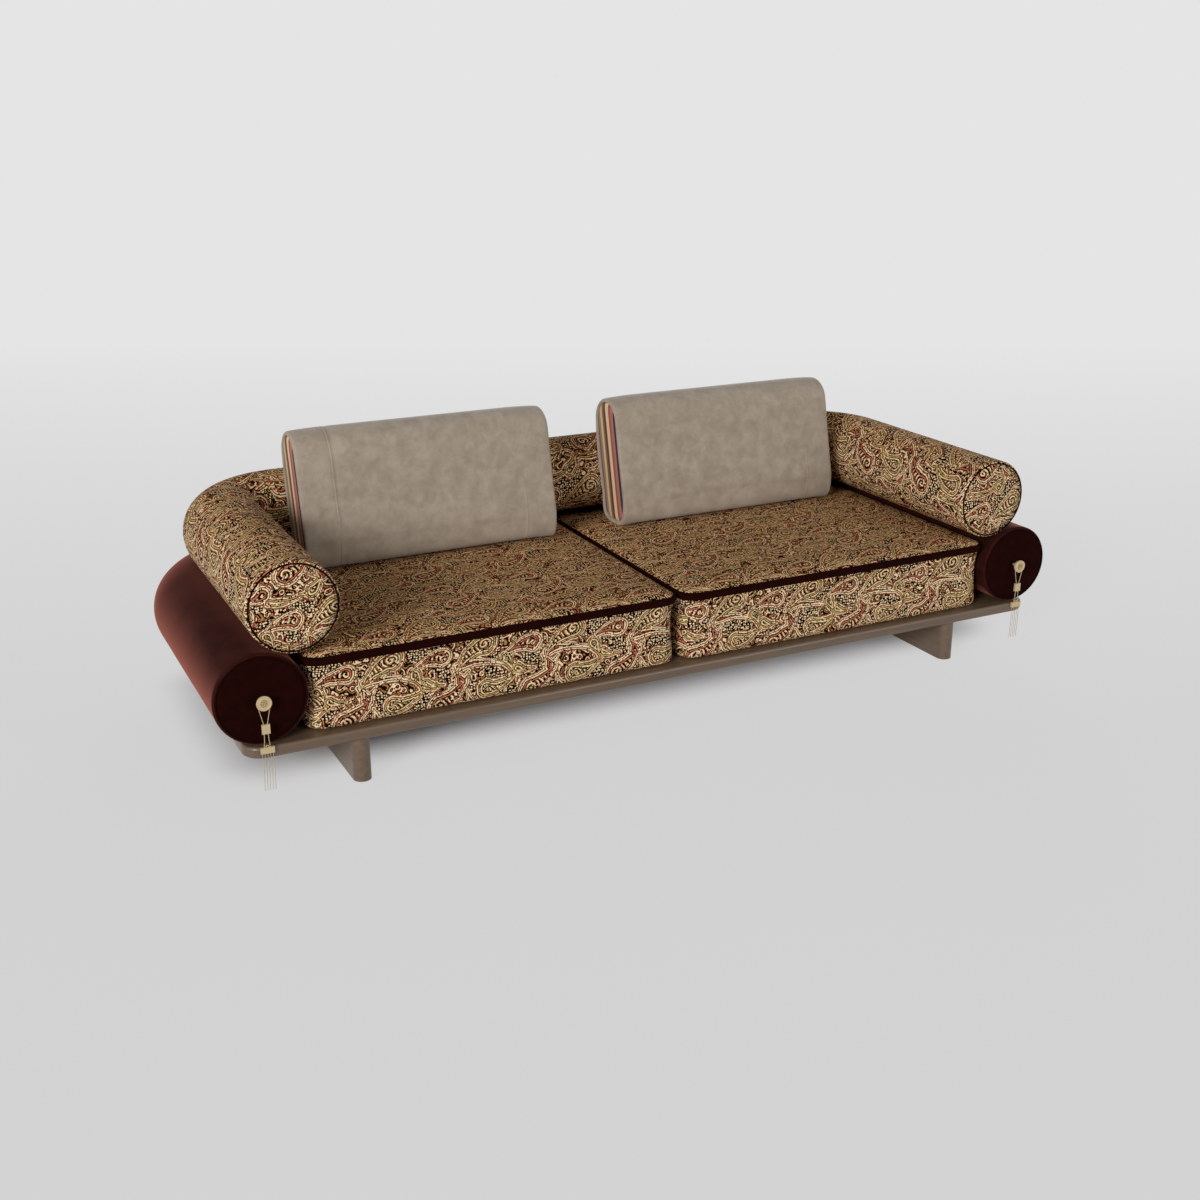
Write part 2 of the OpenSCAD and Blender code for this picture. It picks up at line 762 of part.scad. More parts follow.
// A spool: a stem in the end board, a back flange, the neck for the cord and an embossed face.
// It is drawn along +Z and turned to the front.
module button() {
    stem_end = lower_end + cover_t + board_disc_t;
    rotate([90, 0, 0]) {
        translate([0, 0, -stem_end]) rod(button_stem_r, stem_end - neck_back);
        translate([0, 0, -neck_back - button_back_t])
            cylinder(r = neck_r + 2, h = button_back_t, $fn = round_fn);
        translate([0, 0, -neck_back]) cylinder(r = neck_r, h = neck_w, $fn = round_fn);
        translate([0, 0, neck_w - neck_back]) {
            cylinder(d = button_d, h = button_disc_t, $fn = round_fn);
            translate([0, 0, button_disc_t - emboss_r / 2]) rotate_extrude($fn = round_fn)
                for (k = [0.88, 0.58]) translate([k * button_d / 2, 0])
                    circle(emboss_r, $fn = 24);
            rod(button_boss[0], button_disc_t + button_boss[1]);
        }
    }
}

module button_left() { color([0.75, 0.66, 0.50]) at_button(-1) button(); }
module button_right() { color([0.75, 0.66, 0.50]) at_button(1) button(); }

// The looped cord: up through the bead, round the neck and down again to the bar
tangent = acos(loop_r / norm([bead_gap, bead_drop - bead_h / 2]));
touch_a = atan2(-(bead_drop - bead_h / 2), bead_gap) + tangent;
half_loop = concat(
    [[bar_gap, -loop_drop], [bar_gap, 5 - loop_drop], [bar_gap - 0.8, 11 - loop_drop],
     [bead_gap + 0.8, 18 - loop_drop], [bead_gap, -bead_drop - bead_h / 2],
     [bead_gap, -bead_drop], [bead_gap, bead_h / 2 - bead_drop]],
    [for (i = [0:9]) let (a = touch_a + (90 - touch_a) * i / 10) loop_r * [cos(a), sin(a)]]
);
loop_route = concat(
    half_loop, [[0, loop_r]],
    [for (k = [len(half_loop) - 1:-1:0]) [-half_loop[k][0], half_loop[k][1]]]
);

module tassel_loop() {
    color([0.78, 0.70, 0.56]) flat_cord(loop_route, tassel_y, cord_d, cord_sides);
}

module tassel_bead() {
    color([0.76, 0.67, 0.52]) difference() {
        translate([-bead_w / 2, tassel_y - bar_d / 2, -bead_drop - bead_h / 2])
            cube([bead_w, bar_d, bead_h]);
        for (s = [-1, 1]) translate([s * bead_gap, tassel_y, -bead_drop - bead_h])
            rod(cord_hole_r, 2 * bead_h);
    }
}

module tassel_bar() {
    color([0.74, 0.65, 0.50]) {
        translate([-bar_w / 2, tassel_y - bar_d / 2, -loop_drop - bar_h])
            cube([bar_w, bar_d, bar_h]);
        translate([0, tassel_y, -loop_drop]) rotate([90, 0, 0]) difference() {
            cylinder(r = arch[0], h = arch[2], center = true, $fn = 32);
            cylinder(r = arch[1], h = 2 * arch[2], center = true, $fn = 32);
            translate([-bar_w / 2, -bar_w, -arch[2]]) cube([bar_w, bar_w, 2 * arch[2]]);
        }
    }
}

module tassel_threads() {
    pitch = (bar_w - 2 * thread_margin) / (thread_n - 1);
    color([0.80, 0.73, 0.60]) for (i = [0:thread_n - 1]) {
        x = (i - (thread_n - 1) / 2) * pitch;
        flat_cord([for (p = thread_route) [x + p[0], p[1] - loop_drop - bar_h]], tassel_y,
            thread_d, cord_sides);
    }
}

module tassel_loop_left() { at_button(-1) tassel_loop(); }
module tassel_loop_right() { at_button(1) tassel_loop(); }
module tassel_bead_left() { at_button(-1) tassel_bead(); }
module tassel_bead_right() { at_button(1) tassel_bead(); }
module tassel_bar_left() { at_button(-1) tassel_bar(); }
module tassel_bar_right() { at_button(1) tassel_bar(); }
module tassel_threads_left() { at_button(-1) tassel_threads(); }
module tassel_threads_right() { at_button(1) tassel_threads(); }

platform();
rails();
rail_screws();
leg_left();
leg_right();
leg_bolts();
leg_inserts();
glides();
posts();
post_screws();
lower_frame();
upper_frame();
struts();
lower_foam();
lower_cover();
lower_end_boards();
lower_end_panels();
lower_piping();
upper_foam();
upper_cover();
upper_end_boards();
upper_end_panels();
upper_piping();
button_left();
button_right();
seat_foam_left();
seat_cover_left();
seat_band_left();
seat_zip_left();
seat_foam_right();
seat_cover_right();
seat_band_right();
seat_zip_right();
pad_wrap_left();
pad_core_left();
pad_insert_left();
pad_wrap_right();
pad_core_right();
pad_insert_right();
tassel_loop_left();
tassel_bead_left();
tassel_bar_left();
tassel_threads_left();
tassel_loop_right();
tassel_bead_right();
tassel_bar_right();
tassel_threads_right();
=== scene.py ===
from functools import partial
from math import acos, atan2, copysign, cos, hypot, pi, radians, sin, sqrt

import bmesh
import bpy
from mathutils import Matrix, Vector, noise


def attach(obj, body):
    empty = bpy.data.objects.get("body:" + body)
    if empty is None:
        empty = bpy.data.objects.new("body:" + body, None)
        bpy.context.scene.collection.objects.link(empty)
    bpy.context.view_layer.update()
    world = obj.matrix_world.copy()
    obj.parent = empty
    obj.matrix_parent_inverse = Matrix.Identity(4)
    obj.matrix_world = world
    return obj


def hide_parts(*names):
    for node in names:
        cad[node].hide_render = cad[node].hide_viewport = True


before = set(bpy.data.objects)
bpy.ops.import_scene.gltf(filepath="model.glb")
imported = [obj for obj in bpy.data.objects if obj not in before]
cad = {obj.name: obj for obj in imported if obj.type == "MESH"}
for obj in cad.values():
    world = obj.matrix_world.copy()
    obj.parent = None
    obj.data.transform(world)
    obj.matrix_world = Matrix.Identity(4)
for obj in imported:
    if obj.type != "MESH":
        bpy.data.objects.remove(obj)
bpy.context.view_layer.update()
scene = bpy.context.scene
sides = {"left": -1, "right": 1}
print("frame loaded")


# sRGB hex to linear
def linearColour(code):
    parts = [int(code[i:i + 2], 16) / 255 for i in (1, 3, 5)]
    return [p / 12.92 if p <= 0.04045 else ((p + 0.055) / 1.055) ** 2.4 for p in parts] + [1]


def firstOutput(node):
    return next(o for o in node.outputs if o.enabled)


# One node: its kind may be followed by its operation, sockets is a list or a dictionary of values
# and of nodes to link from, and stops are a ramp's places and colours
def addNode(tree, kind, sockets=(), stops=None, **settings):
    kind, *operation = kind.split()
    made = tree.nodes.new("ShaderNode" + kind)
    if operation:
        made.operation = operation[0]
    for key, value in settings.items():
        setattr(made, key, value)
    if stops:
        ramp = made.color_ramp.elements
        while len(ramp) < len(stops):
            ramp.new(1)
        for element, (place, code) in zip(ramp, stops):
            element.position = place
            element.color = linearColour(code)
    pairs = sockets.items() if isinstance(sockets, dict) else enumerate(sockets)
    for key, value in pairs:
        if isinstance(value, bpy.types.Node):
            value = firstOutput(value)
        if isinstance(value, bpy.types.NodeSocket):
            tree.links.new(value, made.inputs[key])
        elif isinstance(value, str):
            made.inputs[key].default_value = linearColour(value)
        else:
            made.inputs[key].default_value = value
    return made


# A material, the function that adds to its nodes, its shader and its Object coordinates; values
# go on the shader's own sockets
def startMaterial(name, **values):
    material = bpy.data.materials.new(name)
    material.use_nodes = True
    material.node_tree.nodes.clear()
    add = partial(addNode, material.node_tree)
    sockets = {key.replace("_", " "): value for key, value in values.items()}
    shader = add("BsdfPrincipled", sockets)
    add("OutputMaterial", {"Surface": shader})
    return material, add, shader, add("TexCoord").outputs["Object"]


# Links a colour to the shader, and the relief of a height
def dress(shader, colour, height=None, strength=0.0, distance=0.0):
    tree = shader.id_data
    tree.links.new(firstOutput(colour), shader.inputs["Base Color"])
    if height:
        sockets = {"Height": height, "Strength": strength, "Distance": distance}
        bump = addNode(tree, "Bump", sockets)
        tree.links.new(bump.outputs[0], shader.inputs["Normal"])


# Camera, fitted to the outlines in the photograph

camera = {"place": (-1.9921, -3.9987, 1.7654), "down": 19.57, "turn": -26.61, "lens": 44.09}

cameraData = bpy.data.cameras.new("camera")
cameraData.lens = camera["lens"]
cameraData.sensor_width = 36
cameraData.clip_end = 60
cameraObject = bpy.data.objects.new("camera", cameraData)
cameraObject.location = camera["place"]
cameraObject.rotation_euler = (radians(90 - camera["down"]), 0, radians(camera["turn"]))
scene.collection.objects.link(cameraObject)
scene.camera = cameraObject


# Gives a piece of the CAD's its only material
def finishNode(node, material):
    cad[node].data.materials.clear()
    cad[node].data.materials.append(material)


# Makes a piece of a finished bmesh, its faces pointing outwards, in the place of a CAD node
def makePiece(name, bm, material, body, node):
    bmesh.ops.recalc_face_normals(bm, faces=bm.faces[:])
    mesh = bpy.data.meshes.new(name)
    bm.to_mesh(mesh)
    bm.free()
    mesh.materials.append(material)
    mesh.shade_smooth()
    piece = bpy.data.objects.new(name, mesh)
    scene.collection.objects.link(piece)
    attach(piece, body)
    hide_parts(node)
    return piece


def mergeDoubles(bm):
    bmesh.ops.remove_doubles(bm, verts=bm.verts[:], dist=0.00001)


def smoothOnce(piece):
    smooth = piece.modifiers.new("smooth", "SUBSURF")
    smooth.levels = smooth.render_levels = 1


# Tassels. The routes repeat the CAD's points, in millimetres from the button's middle

tassel = {
    "buttonX": 1.2274, "hangY": -0.5849, "buttonZ": 0.283,
    "cordWidth": 0.0022, "cordTwist": 0.005, "cordStep": 0.0005,
    "threadWidth": 0.0015, "threadTwist": 0.004, "threadStep": 0.0006,
    "threadPitch": 7, "threads": 5, "barFoot": -138, "loopLength": 0.299, "threadLength": 0.104,
    # How deep a cord's strands are laid in, and the button's woven relief, in metres
    "hollow": 0.86, "strand": 0.2, "weaveRadius": 0.0105, "weave": 0.006,
    # The loop's radius round the button's neck, and one side of the route up to it
    "loopArc": 17.3, "arcSteps": 10,
    "loopHalf": [(7.5, -121), (7.5, -116), (6.7, -110), (5.8, -103), (5, -84), (5, -71), (5, -58)],
    "thread": [(0, 0), (0, -7), (0.3, -14), (0.6, -21), (0.9, -29), (1.1, -37), (1.2, -45),
               (1.2, -53), (1, -61), (0.7, -69), (0.4, -77), (0.1, -85), (-0.2, -93),
               (-0.4, -99), (-0.5, -104)],
}

# Materials of the tassels

# Twisted viscose cord: pale gold with a soft silky gloss, mottled by fibres drawn about 1 mm long,
# which is as coarse as they need to show
cordSilk, add, shader, place = startMaterial(
    "twistedViscoseCord", Roughness=0.42, Sheen_Weight=0.35, Sheen_Roughness=0.4)
mottle = add("TexNoise", {"Vector": place, "Scale": 900.0, "Detail": 3.0})
strands = add("ValToRGB", [mottle], stops=[(0.3, "#8E7A55"), (0.6, "#D3BF93")])
dress(shader, strands, mottle, 0.4, 0.0002)

# Fine viscose thread of the fringe: paler and glossier, light shows through it a little
threadSilk, add, shader, place = startMaterial(
    "viscoseThread", Roughness=0.36, Sheen_Weight=0.3, Subsurface_Weight=0.2,
    Subsurface_Scale=0.001)
mottle = add("TexNoise", {"Vector": place, "Scale": 1100.0, "Detail": 2.0})
strands = add("ValToRGB", [mottle], stops=[(0.3, "#95876A"), (0.65, "#D2C5A6")])
dress(shader, strands)

# Cast zinc alloy with a soft antique gilding: slightly rough, darker in its hollows, and on the
# buttons a low diagonal weave of 6 mm inside a plain rim
giltRelief, add, shader, place = startMaterial("antiqueGiltCasting", Metallic=0.25, Roughness=0.5)
half = add("VectorMath ABSOLUTE", [place])
fromMiddle = add("VectorMath SUBTRACT", [half, (tassel["buttonX"], 0, tassel["buttonZ"])])
face = add("VectorMath MULTIPLY", [fromMiddle, (1, 0, 1)])
radius = add("VectorMath LENGTH", [face])
onButton = add("Math LESS_THAN", [radius, tassel["weaveRadius"]])
turned = add("Mapping", {"Vector": face, "Rotation": (0, radians(45), 0),
                         "Scale": (2 * pi / tassel["weave"],) * 3})
axes = add("SeparateXYZ", [turned]).outputs
over = add("Math MULTIPLY", [add("Math SINE", [axes[0]]), add("Math SINE", [axes[2]])])
weave = add("MapRange", [over, -0.2, 0.25, 0.0, 1.0], interpolation_type="SMOOTHSTEP")
grain = add("TexNoise", {"Vector": place, "Scale": 900.0, "Detail": 3.0})
relief = add("Mix", {0: onButton, 2: 0.85, 3: weave})
height = add("Math MULTIPLY_ADD", [grain, 0.4, relief])
tone = add("ValToRGB", [height], stops=[(0.15, "#77623F"), (0.6, "#AE956B"), (1, "#CDB68D")])
dress(shader, tone, height, 0.6, 0.0008)


# The route up through the bead, round the button's neck and down again
def loopRoute():
    x, z = tassel["loopHalf"][-1]
    radius, steps = tassel["loopArc"], tassel["arcSteps"]
    touch = atan2(z, x) + acos(radius / hypot(x, z))
    arc = [touch + (pi / 2 - touch) * i / steps for i in range(steps)]
    half = tassel["loopHalf"] + [(radius * cos(a), radius * sin(a)) for a in arc]
    return half + [(0, radius)] + [(-px, pz) for px, pz in reversed(half)]


# Points on a smooth curve through a route, a step apart
def evenPoints(route, step):
    route = [Vector(p) for p in route]
    ends = [2 * route[0] - route[1]] + route + [2 * route[-1] - route[-2]]
    fine = []
    for a, b, c, d in zip(ends, ends[1:], ends[2:], ends[3:]):
        count = max(2, round((c - b).length / step))
        for i in range(count):
            t = i / count
            fine.append(0.5 * ((2 * b) + (c - a) * t + (2 * a - 5 * b + 4 * c - d) * t ** 2
                               + (3 * b - a - 3 * c + d) * t ** 3))
    return fine + [route[-1]]


# A cord of twisted strands: a lobed ring swept along the points, turning as it goes
def twistedCord(name, points, width, twist, lobes, material, body, node):
    line = bpy.data.curves.new(name, "CURVE")
    line.dimensions = "3D"
    line.twist_mode = "Z_UP"
    spline = line.splines.new("POLY")
    spline.points.add(len(points) - 1)
    gone = 0
    for i, point in enumerate(points):
        gone += (point - points[max(i - 1, 0)]).length
        spline.points[i].co = (*point, 1)
        spline.points[i].tilt = 2 * pi * gone / twist
    ring = bpy.data.curves.new(name + "Ring", "CURVE")
    lobe = ring.splines.new("POLY")
    sidesRound = 4 * lobes
    lobe.points.add(sidesRound - 1)
    for i in range(sidesRound):
        a = 2 * pi * i / sidesRound
        r = width / 2 * (tassel["hollow"] + tassel["strand"] * abs(cos(lobes * a / 2)))
        lobe.points[i].co = (r * cos(a), r * sin(a), 0, 1)
    lobe.use_cyclic_u = True
    ringObject = bpy.data.objects.new(name + "Ring", ring)
    line.bevel_mode = "OBJECT"
    line.bevel_object = ringObject
    line.use_fill_caps = True
    holder = bpy.data.objects.new(name + "Line", line)
    for drawn in (holder, ringObject):
        scene.collection.objects.link(drawn)
    swept = holder.evaluated_get(bpy.context.evaluated_depsgraph_get())
    bm = bmesh.new()
    bm.from_mesh(swept.to_mesh())
    for leftOver in (holder, ringObject):
        bpy.data.objects.remove(leftOver)
    mergeDoubles(bm)
    return makePiece(name, bm, material, body, node)


for side, sign in sides.items():
    middle = Vector((sign * tassel["buttonX"], tassel["hangY"], tassel["buttonZ"]))
    body = "tassel_" + side
    route = [middle + Vector((x, 0, z)) / 1000 for x, z in loopRoute()]
    points = evenPoints(route, tassel["cordStep"])
    loop = twistedCord("tasselLoop_" + side, points, tassel["cordWidth"], tassel["cordTwist"], 3,
                       cordSilk, body, "tassel_loop_" + side)
    for k in range(tassel["threads"]):
        start = (k - (tassel["threads"] - 1) / 2) * tassel["threadPitch"]
        route = [middle + Vector((start + x, 0, tassel["barFoot"] + z)) / 1000
                 for x, z in tassel["thread"]]
        points = evenPoints(route, tassel["threadStep"])
        thread = twistedCord(f"tasselThread{k + 1}_{side}", points, tassel["threadWidth"],
                             tassel["threadTwist"], 2, threadSilk, body,
                             "tassel_threads_" + side)
    for node in ("button_", "tassel_bead_", "tassel_bar_"):
        finishNode(node + side, giltRelief)
print("camera and tassels made")

# Materials of the frame


# Greige satin lacquer on oak veneer: the grain only shows as faint long streaks under the film
def lacquerOnOak(name, streak, pore):
    made, add, shader, place = startMaterial(
        name, Roughness=0.42, Coat_Weight=0.3, Coat_Roughness=0.09)
    long = add("Mapping", {"Vector": place, "Scale": streak})
    streaks = add("TexNoise", {"Vector": long, "Scale": 1.0, "Detail": 5.0, "Distortion": 0.4})
    pores = add("Mapping", {"Vector": place, "Scale": pore})
    fine = add("TexNoise", {"Vector": pores, "Scale": 1.0, "Detail": 2.0})
    mixed = add("Math MULTIPLY_ADD", [fine, 0.35, streaks])
    tone = add("ValToRGB", [mixed], stops=[(0.35, "#5A4736"), (0.95, "#6F5A46")])
    dress(shader, tone, mixed, 0.2, 0.0003)
    return made


# A plain finish whose tone drifts over patches of one size, with a fine relief
def plainFinish(name, low, high, patch, grit, relief, **values):
    made, add, shader, place = startMaterial(name, **values)
    drift = add("TexNoise", {"Vector": place, "Scale": 1 / patch, "Detail": 4.0})
    tone = add("ValToRGB", [drift], stops=[(0.35, low), (0.65, high)])
    grain = add("TexNoise", {"Vector": place, "Scale": 1 / grit, "Detail": 3.0})
    dress(shader, tone, grain, 0.5, relief)
    return made


finishes = {
    # Streaks 11 mm wide and pores 0.7 mm wide, along the board and along the legs
    "boardLacquer": lacquerOnOak("satinLacquerBoard", (4, 90, 90), (60, 1400, 1400)),
    "legLacquer": lacquerOnOak("satinLacquerLegs", (90, 4, 90), (1400, 60, 1400)),
    # Powder-coated steel: dark, matt, with orange peel of about 2 mm
    "steel": plainFinish("powderCoatedSteel", "#2B2B2C", "#363637", 0.05, 0.002, 0.0001,
                         Roughness=0.55),
    # Zinc-plated screws: cool grey metal, slightly cloudy
    "zinc": plainFinish("zincPlatedSteel", "#A9ACAE", "#C2C4C4", 0.01, 0.0008, 0.00005,
                        Metallic=1.0, Roughness=0.34),
    # Turned brass inserts: yellow metal
    "brass": plainFinish("turnedBrass", "#B08D4B", "#C9A863", 0.01, 0.0006, 0.00005,
                         Metallic=1.0, Roughness=0.3),
    # Pressed wool felt under the legs: grey, no gloss, fibres of about 1 mm
    "felt": plainFinish("pressedFelt", "#5A5651", "#6E6963", 0.004, 0.001, 0.0004,
                        Roughness=0.95, Sheen_Weight=0.3),
    # Cut polyurethane foam: cream, open cells of about 1 mm
    "foam": plainFinish("polyurethaneFoam", "#E6DBB4", "#EFE7C6", 0.03, 0.001, 0.0005,
                        Roughness=0.95),
    # Birch plywood boards in the rolls' ends: pale and dry
    "birch": plainFinish("birchPlywood", "#C0A070", "#CDB185", 0.02, 0.002, 0.0001,
                         Roughness=0.6),
    # Nylon zip: brown-black with a dull gloss, teeth of 1.5 mm
    "zip": plainFinish("nylonZip", "#1F1714", "#2A201C", 0.01, 0.0015, 0.0004, Roughness=0.4),
    # Fibre filling in its calico bag: off-white and matt
    "calico": plainFinish("cottonCalico", "#E2DCC8", "#ECE7D6", 0.02, 0.0012, 0.0002,
                          Roughness=0.9),
}
carried = {
    "boardLacquer": ["platform"], "legLacquer": ["leg_left", "leg_right"],
    "steel": ["rails", "posts", "struts", "lower_frame", "upper_frame"],
    "zinc": ["rail_screws", "post_screws", "leg_bolts"], "brass": ["leg_inserts"],
    "felt": ["glides"], "foam": ["lower_foam"], "birch": ["lower_end_boards", "upper_end_boards"],
    "zip": ["seat_zip_left", "seat_zip_right"], "calico": ["pad_insert_left", "pad_insert_right"],
}
for finish, nodes in carried.items():
    for node in nodes:
        finishNode(node, finishes[finish])
print("frame finished")


# Materials of the cloths

# Jacquard-woven paisley, drawn in millimetres: curved drops with nested outlines, whose hearts
# are coils or rosettes, lines that follow them, and a dark ground with dots and scrolls between
paisley = {
    "repeat": 234, "yarn": 1.1, "rim": 12, "curl": 11, "outline": 9, "dots": 7, "scrolls": 24,
    "scrollLine": 9, "beads": 4.6, "driftOver": 30, "drift": 9, "zones": 70, "far": 1000.0,
    # The steepest face that counts as a top, and the shift of tops and sides on the cloth
    "steep": 0.7, "shift": (0.137, 0.083, 0),
    # Place of the head, turn in degrees, length, radius, bend, arms of the coil, tone
    "motifs": [
        (48, 165, 16, 97, 26, 48, 1, 0), (167, 67, 196, 101, 28, 51, 1, 1),
        (167, 186, -8, 81, 21, 42, 6, 1), (59, 50, 170, 76, 21, 41, -1, 0),
        (109, 117, 30, 51, 17, 27, 1, 1), (222, 123, 222, 48, 17, -27, -1, 0),
        (105, 214, 96, 34, 15, 17, 7, 0), (225, 17, -44, 39, 16, -20, 5, 1),
        (5, 101, -10, 133, 8, 66, 0, 1), (100, 17, 16, 131, 9, -62, 0, 0),
        (204, 153, 200, 109, 8, -55, 0, 1), (17, 223, -34, 42, 12, 20, 1, 1),
        (137, 150, 140, 39, 11, -19, -1, 0),
    ],
}
ink = {"dark": "#1A0C03", "deep": "#120702", "cream": "#FFE2B4", "tan": "#B5824E",
       "salmon": "#C8785C", "red": "#A04238", "olive": "#8A7B3C", "gold": "#D0A76A"}

drawing = bpy.data.node_groups.new("paisleyDrawing", "ShaderNodeTree")
drawing.interface.new_socket("Place", in_out="INPUT", socket_type="NodeSocketVector")
drawing.interface.new_socket("Colour", in_out="OUTPUT", socket_type="NodeSocketColor")
drawing.interface.new_socket("Height", in_out="OUTPUT", socket_type="NodeSocketFloat")
given = drawing.nodes.new("NodeGroupInput").outputs["Place"]
add = partial(addNode, drawing)
yarns = add("VectorMath SNAP", [given, (paisley["yarn"],) * 3])
drift = add("TexNoise", {"Vector": yarns, "Scale": 1 / paisley["driftOver"], "Detail": 1.0})
reach = (paisley["drift"], paisley["drift"], 0)
place = add("VectorMath MULTIPLY_ADD", [drift.outputs["Color"], reach, yarns])
half = paisley["repeat"] / 2
edge = coil = paisley["far"]
# Each place takes the nearest drop's edge and coil; a golden drop's coil is counted from 20
for x, y, turn, length, head, bend, arms, tone in paisley["motifs"]:
    near = add("VectorMath WRAP", [place, (x + half, y + half, 1), (x - half, y - half, -1)])
    local = add("Mapping", [near, (x, y, 0), (0, 0, radians(turn))], vector_type="TEXTURE")
    axes = add("SeparateXYZ", [local]).outputs
    along = add("Math DIVIDE", [axes[0], float(length)], use_clamp=True)
    beyond = add("Math MULTIPLY_ADD", [along, -float(length), axes[0]])
    squared = add("Math POWER", [along, 2.0])
    across = add("Math MULTIPLY_ADD", [squared, -float(bend), axes[1]])
    apart = add("CombineXYZ", [beyond, across])
    middle = add("VectorMath LENGTH", [apart])
    left = add("Math SUBTRACT", [1.0, along])
    taper = add("Math POWER", [left, 0.8])
    own = add("Math MULTIPLY_ADD", [taper, -float(head), middle])
    angle = add("Math ARCTAN2", [axes[1], axes[0]])
    radius = add("VectorMath LENGTH", [local])
    rings = add("Math MULTIPLY_ADD", [radius, 1 / paisley["curl"], 20.0 * tone])
    ownCoil = add("Math MULTIPLY_ADD", [angle, arms / (2 * pi), rings])
    nearer = add("Math LESS_THAN", [own, edge])
    coil = add("Mix", {0: nearer, 2: coil, 3: ownCoil})
    edge = add("Math MINIMUM", [own, edge])

# Inside: the first half of each ramp is the rim, from the outline inwards, the second the coil
rim = 2 * paisley["rim"]
depth = add("Math MULTIPLY", [edge, -1 / rim])
inRim = add("Math MINIMUM", [depth, 0.5])
inCore = add("Math GREATER_THAN", [depth, 0.5])
part = add("Math FRACT", [coil])
curl = add("Math MULTIPLY", [part, inCore])
inside = add("Math MULTIPLY_ADD", [curl, 0.5, inRim])
warm = add("ValToRGB", [inside], stops=[
    (0, ink["cream"]), (0.14, ink["dark"]), (0.24, ink["red"]), (0.29, ink["salmon"]),
    (0.40, ink["dark"]), (0.5, ink["tan"]), (0.57, ink["cream"]), (0.75, ink["dark"])])
gold = add("ValToRGB", [inside], stops=[
    (0, ink["gold"]), (0.13, ink["dark"]), (0.22, ink["cream"]), (0.33, ink["olive"]),
    (0.41, ink["dark"]), (0.5, ink["salmon"]), (0.58, ink["olive"]), (0.65, ink["dark"]),
    (0.83, ink["cream"])])
toned = add("Math GREATER_THAN", [coil, 10.0])
filled = add("Mix", {0: toned, 6: warm, 7: gold}, data_type="RGBA")

# Outside: lines that follow the outline, then the ground
away = add("Math DIVIDE", [edge, paisley["outline"]])
follow = add("ValToRGB", [away], stops=[
    (0, ink["dark"]), (0.24, ink["cream"]), (0.56, ink["dark"]), (0.72, ink["salmon"]),
    (0.86, ink["dark"])])
seeds = add("TexVoronoi", {"Vector": place, "Scale": 1 / paisley["dots"],
                           "Randomness": 0.55}, voronoi_dimensions="2D")
dots = add("ValToRGB", [seeds.outputs["Distance"]], stops=[(0, ink["cream"]), (0.31, ink["deep"])])
swirls = add("TexVoronoi", {"Vector": place, "Scale": 1 / paisley["scrolls"]},
             voronoi_dimensions="2D", feature="SMOOTH_F1")
turns = paisley["scrolls"] / paisley["scrollLine"]
loops = add("Math MULTIPLY", [swirls.outputs["Distance"], turns])
lines = add("Math FRACT", [loops])
scrolls = add("ValToRGB", [lines], stops=[
    (0, ink["tan"]), (0.17, ink["deep"]), (0.45, ink["cream"]), (0.68, ink["red"]),
    (0.77, ink["deep"])])
zones = add("TexNoise", {"Vector": place, "Scale": 1 / paisley["zones"], "Detail": 0.0})
zone = add("Math GREATER_THAN", [zones, 0.5])
ground = add("Mix", {0: zone, 6: dots, 7: scrolls}, data_type="RGBA")
far = add("Math GREATER_THAN", [away, 1.0])
outside = add("Mix", {0: far, 6: follow, 7: ground}, data_type="RGBA")
inDrop = add("Math LESS_THAN", [edge, 0.0])
lined = add("Mix", {0: inDrop, 6: outside, 7: filled}, data_type="RGBA")

# Beads sewn into the lines: each cell has one, or none, in a colour of its own
cells = add("TexVoronoi", {"Vector": yarns, "Scale": 1 / paisley["beads"],
                           "Randomness": 0.7}, voronoi_dimensions="2D")
pick = add("SeparateColor", [cells.outputs["Color"]]).outputs[0]
bead = add("ValToRGB", [pick], stops=[
    (0, ink["deep"]), (0.2, ink["cream"]), (0.28, ink["red"]), (0.35, ink["olive"])])
small = add("Math LESS_THAN", [cells.outputs["Distance"], 0.4])
here = add("Math LESS_THAN", [pick, 0.4])
sewn = add("Math MULTIPLY", [small, here])
drawn = add("Mix", {0: sewn, 6: lined, 7: bead}, data_type="RGBA")
for ramp in (warm, gold, follow, dots, scrolls, bead):
    ramp.color_ramp.interpolation = "CONSTANT"

# Each yarn is a little lighter or darker, and its float makes a small ridge
speck = add("TexWhiteNoise", {"Vector": yarns})
shade = add("MapRange", [speck.outputs["Value"], 0.0, 1.0, 0.84, 1.1])
mixedColour = add("VectorMath SCALE", {0: drawn, "Scale": shade})
ridge = add("VectorMath MULTIPLY", [given, (2 * pi / paisley["yarn"],) * 3])
waves = add("SeparateXYZ", [ridge]).outputs
warp = add("Math SINE", [waves[0]])
weft = add("Math SINE", [waves[1]])
height = add("Math MULTIPLY", [warp, weft])
done = drawing.nodes.new("NodeGroupOutput")
drawing.links.new(mixedColour.outputs[0], done.inputs["Colour"])
drawing.links.new(height.outputs[0], done.inputs["Height"])


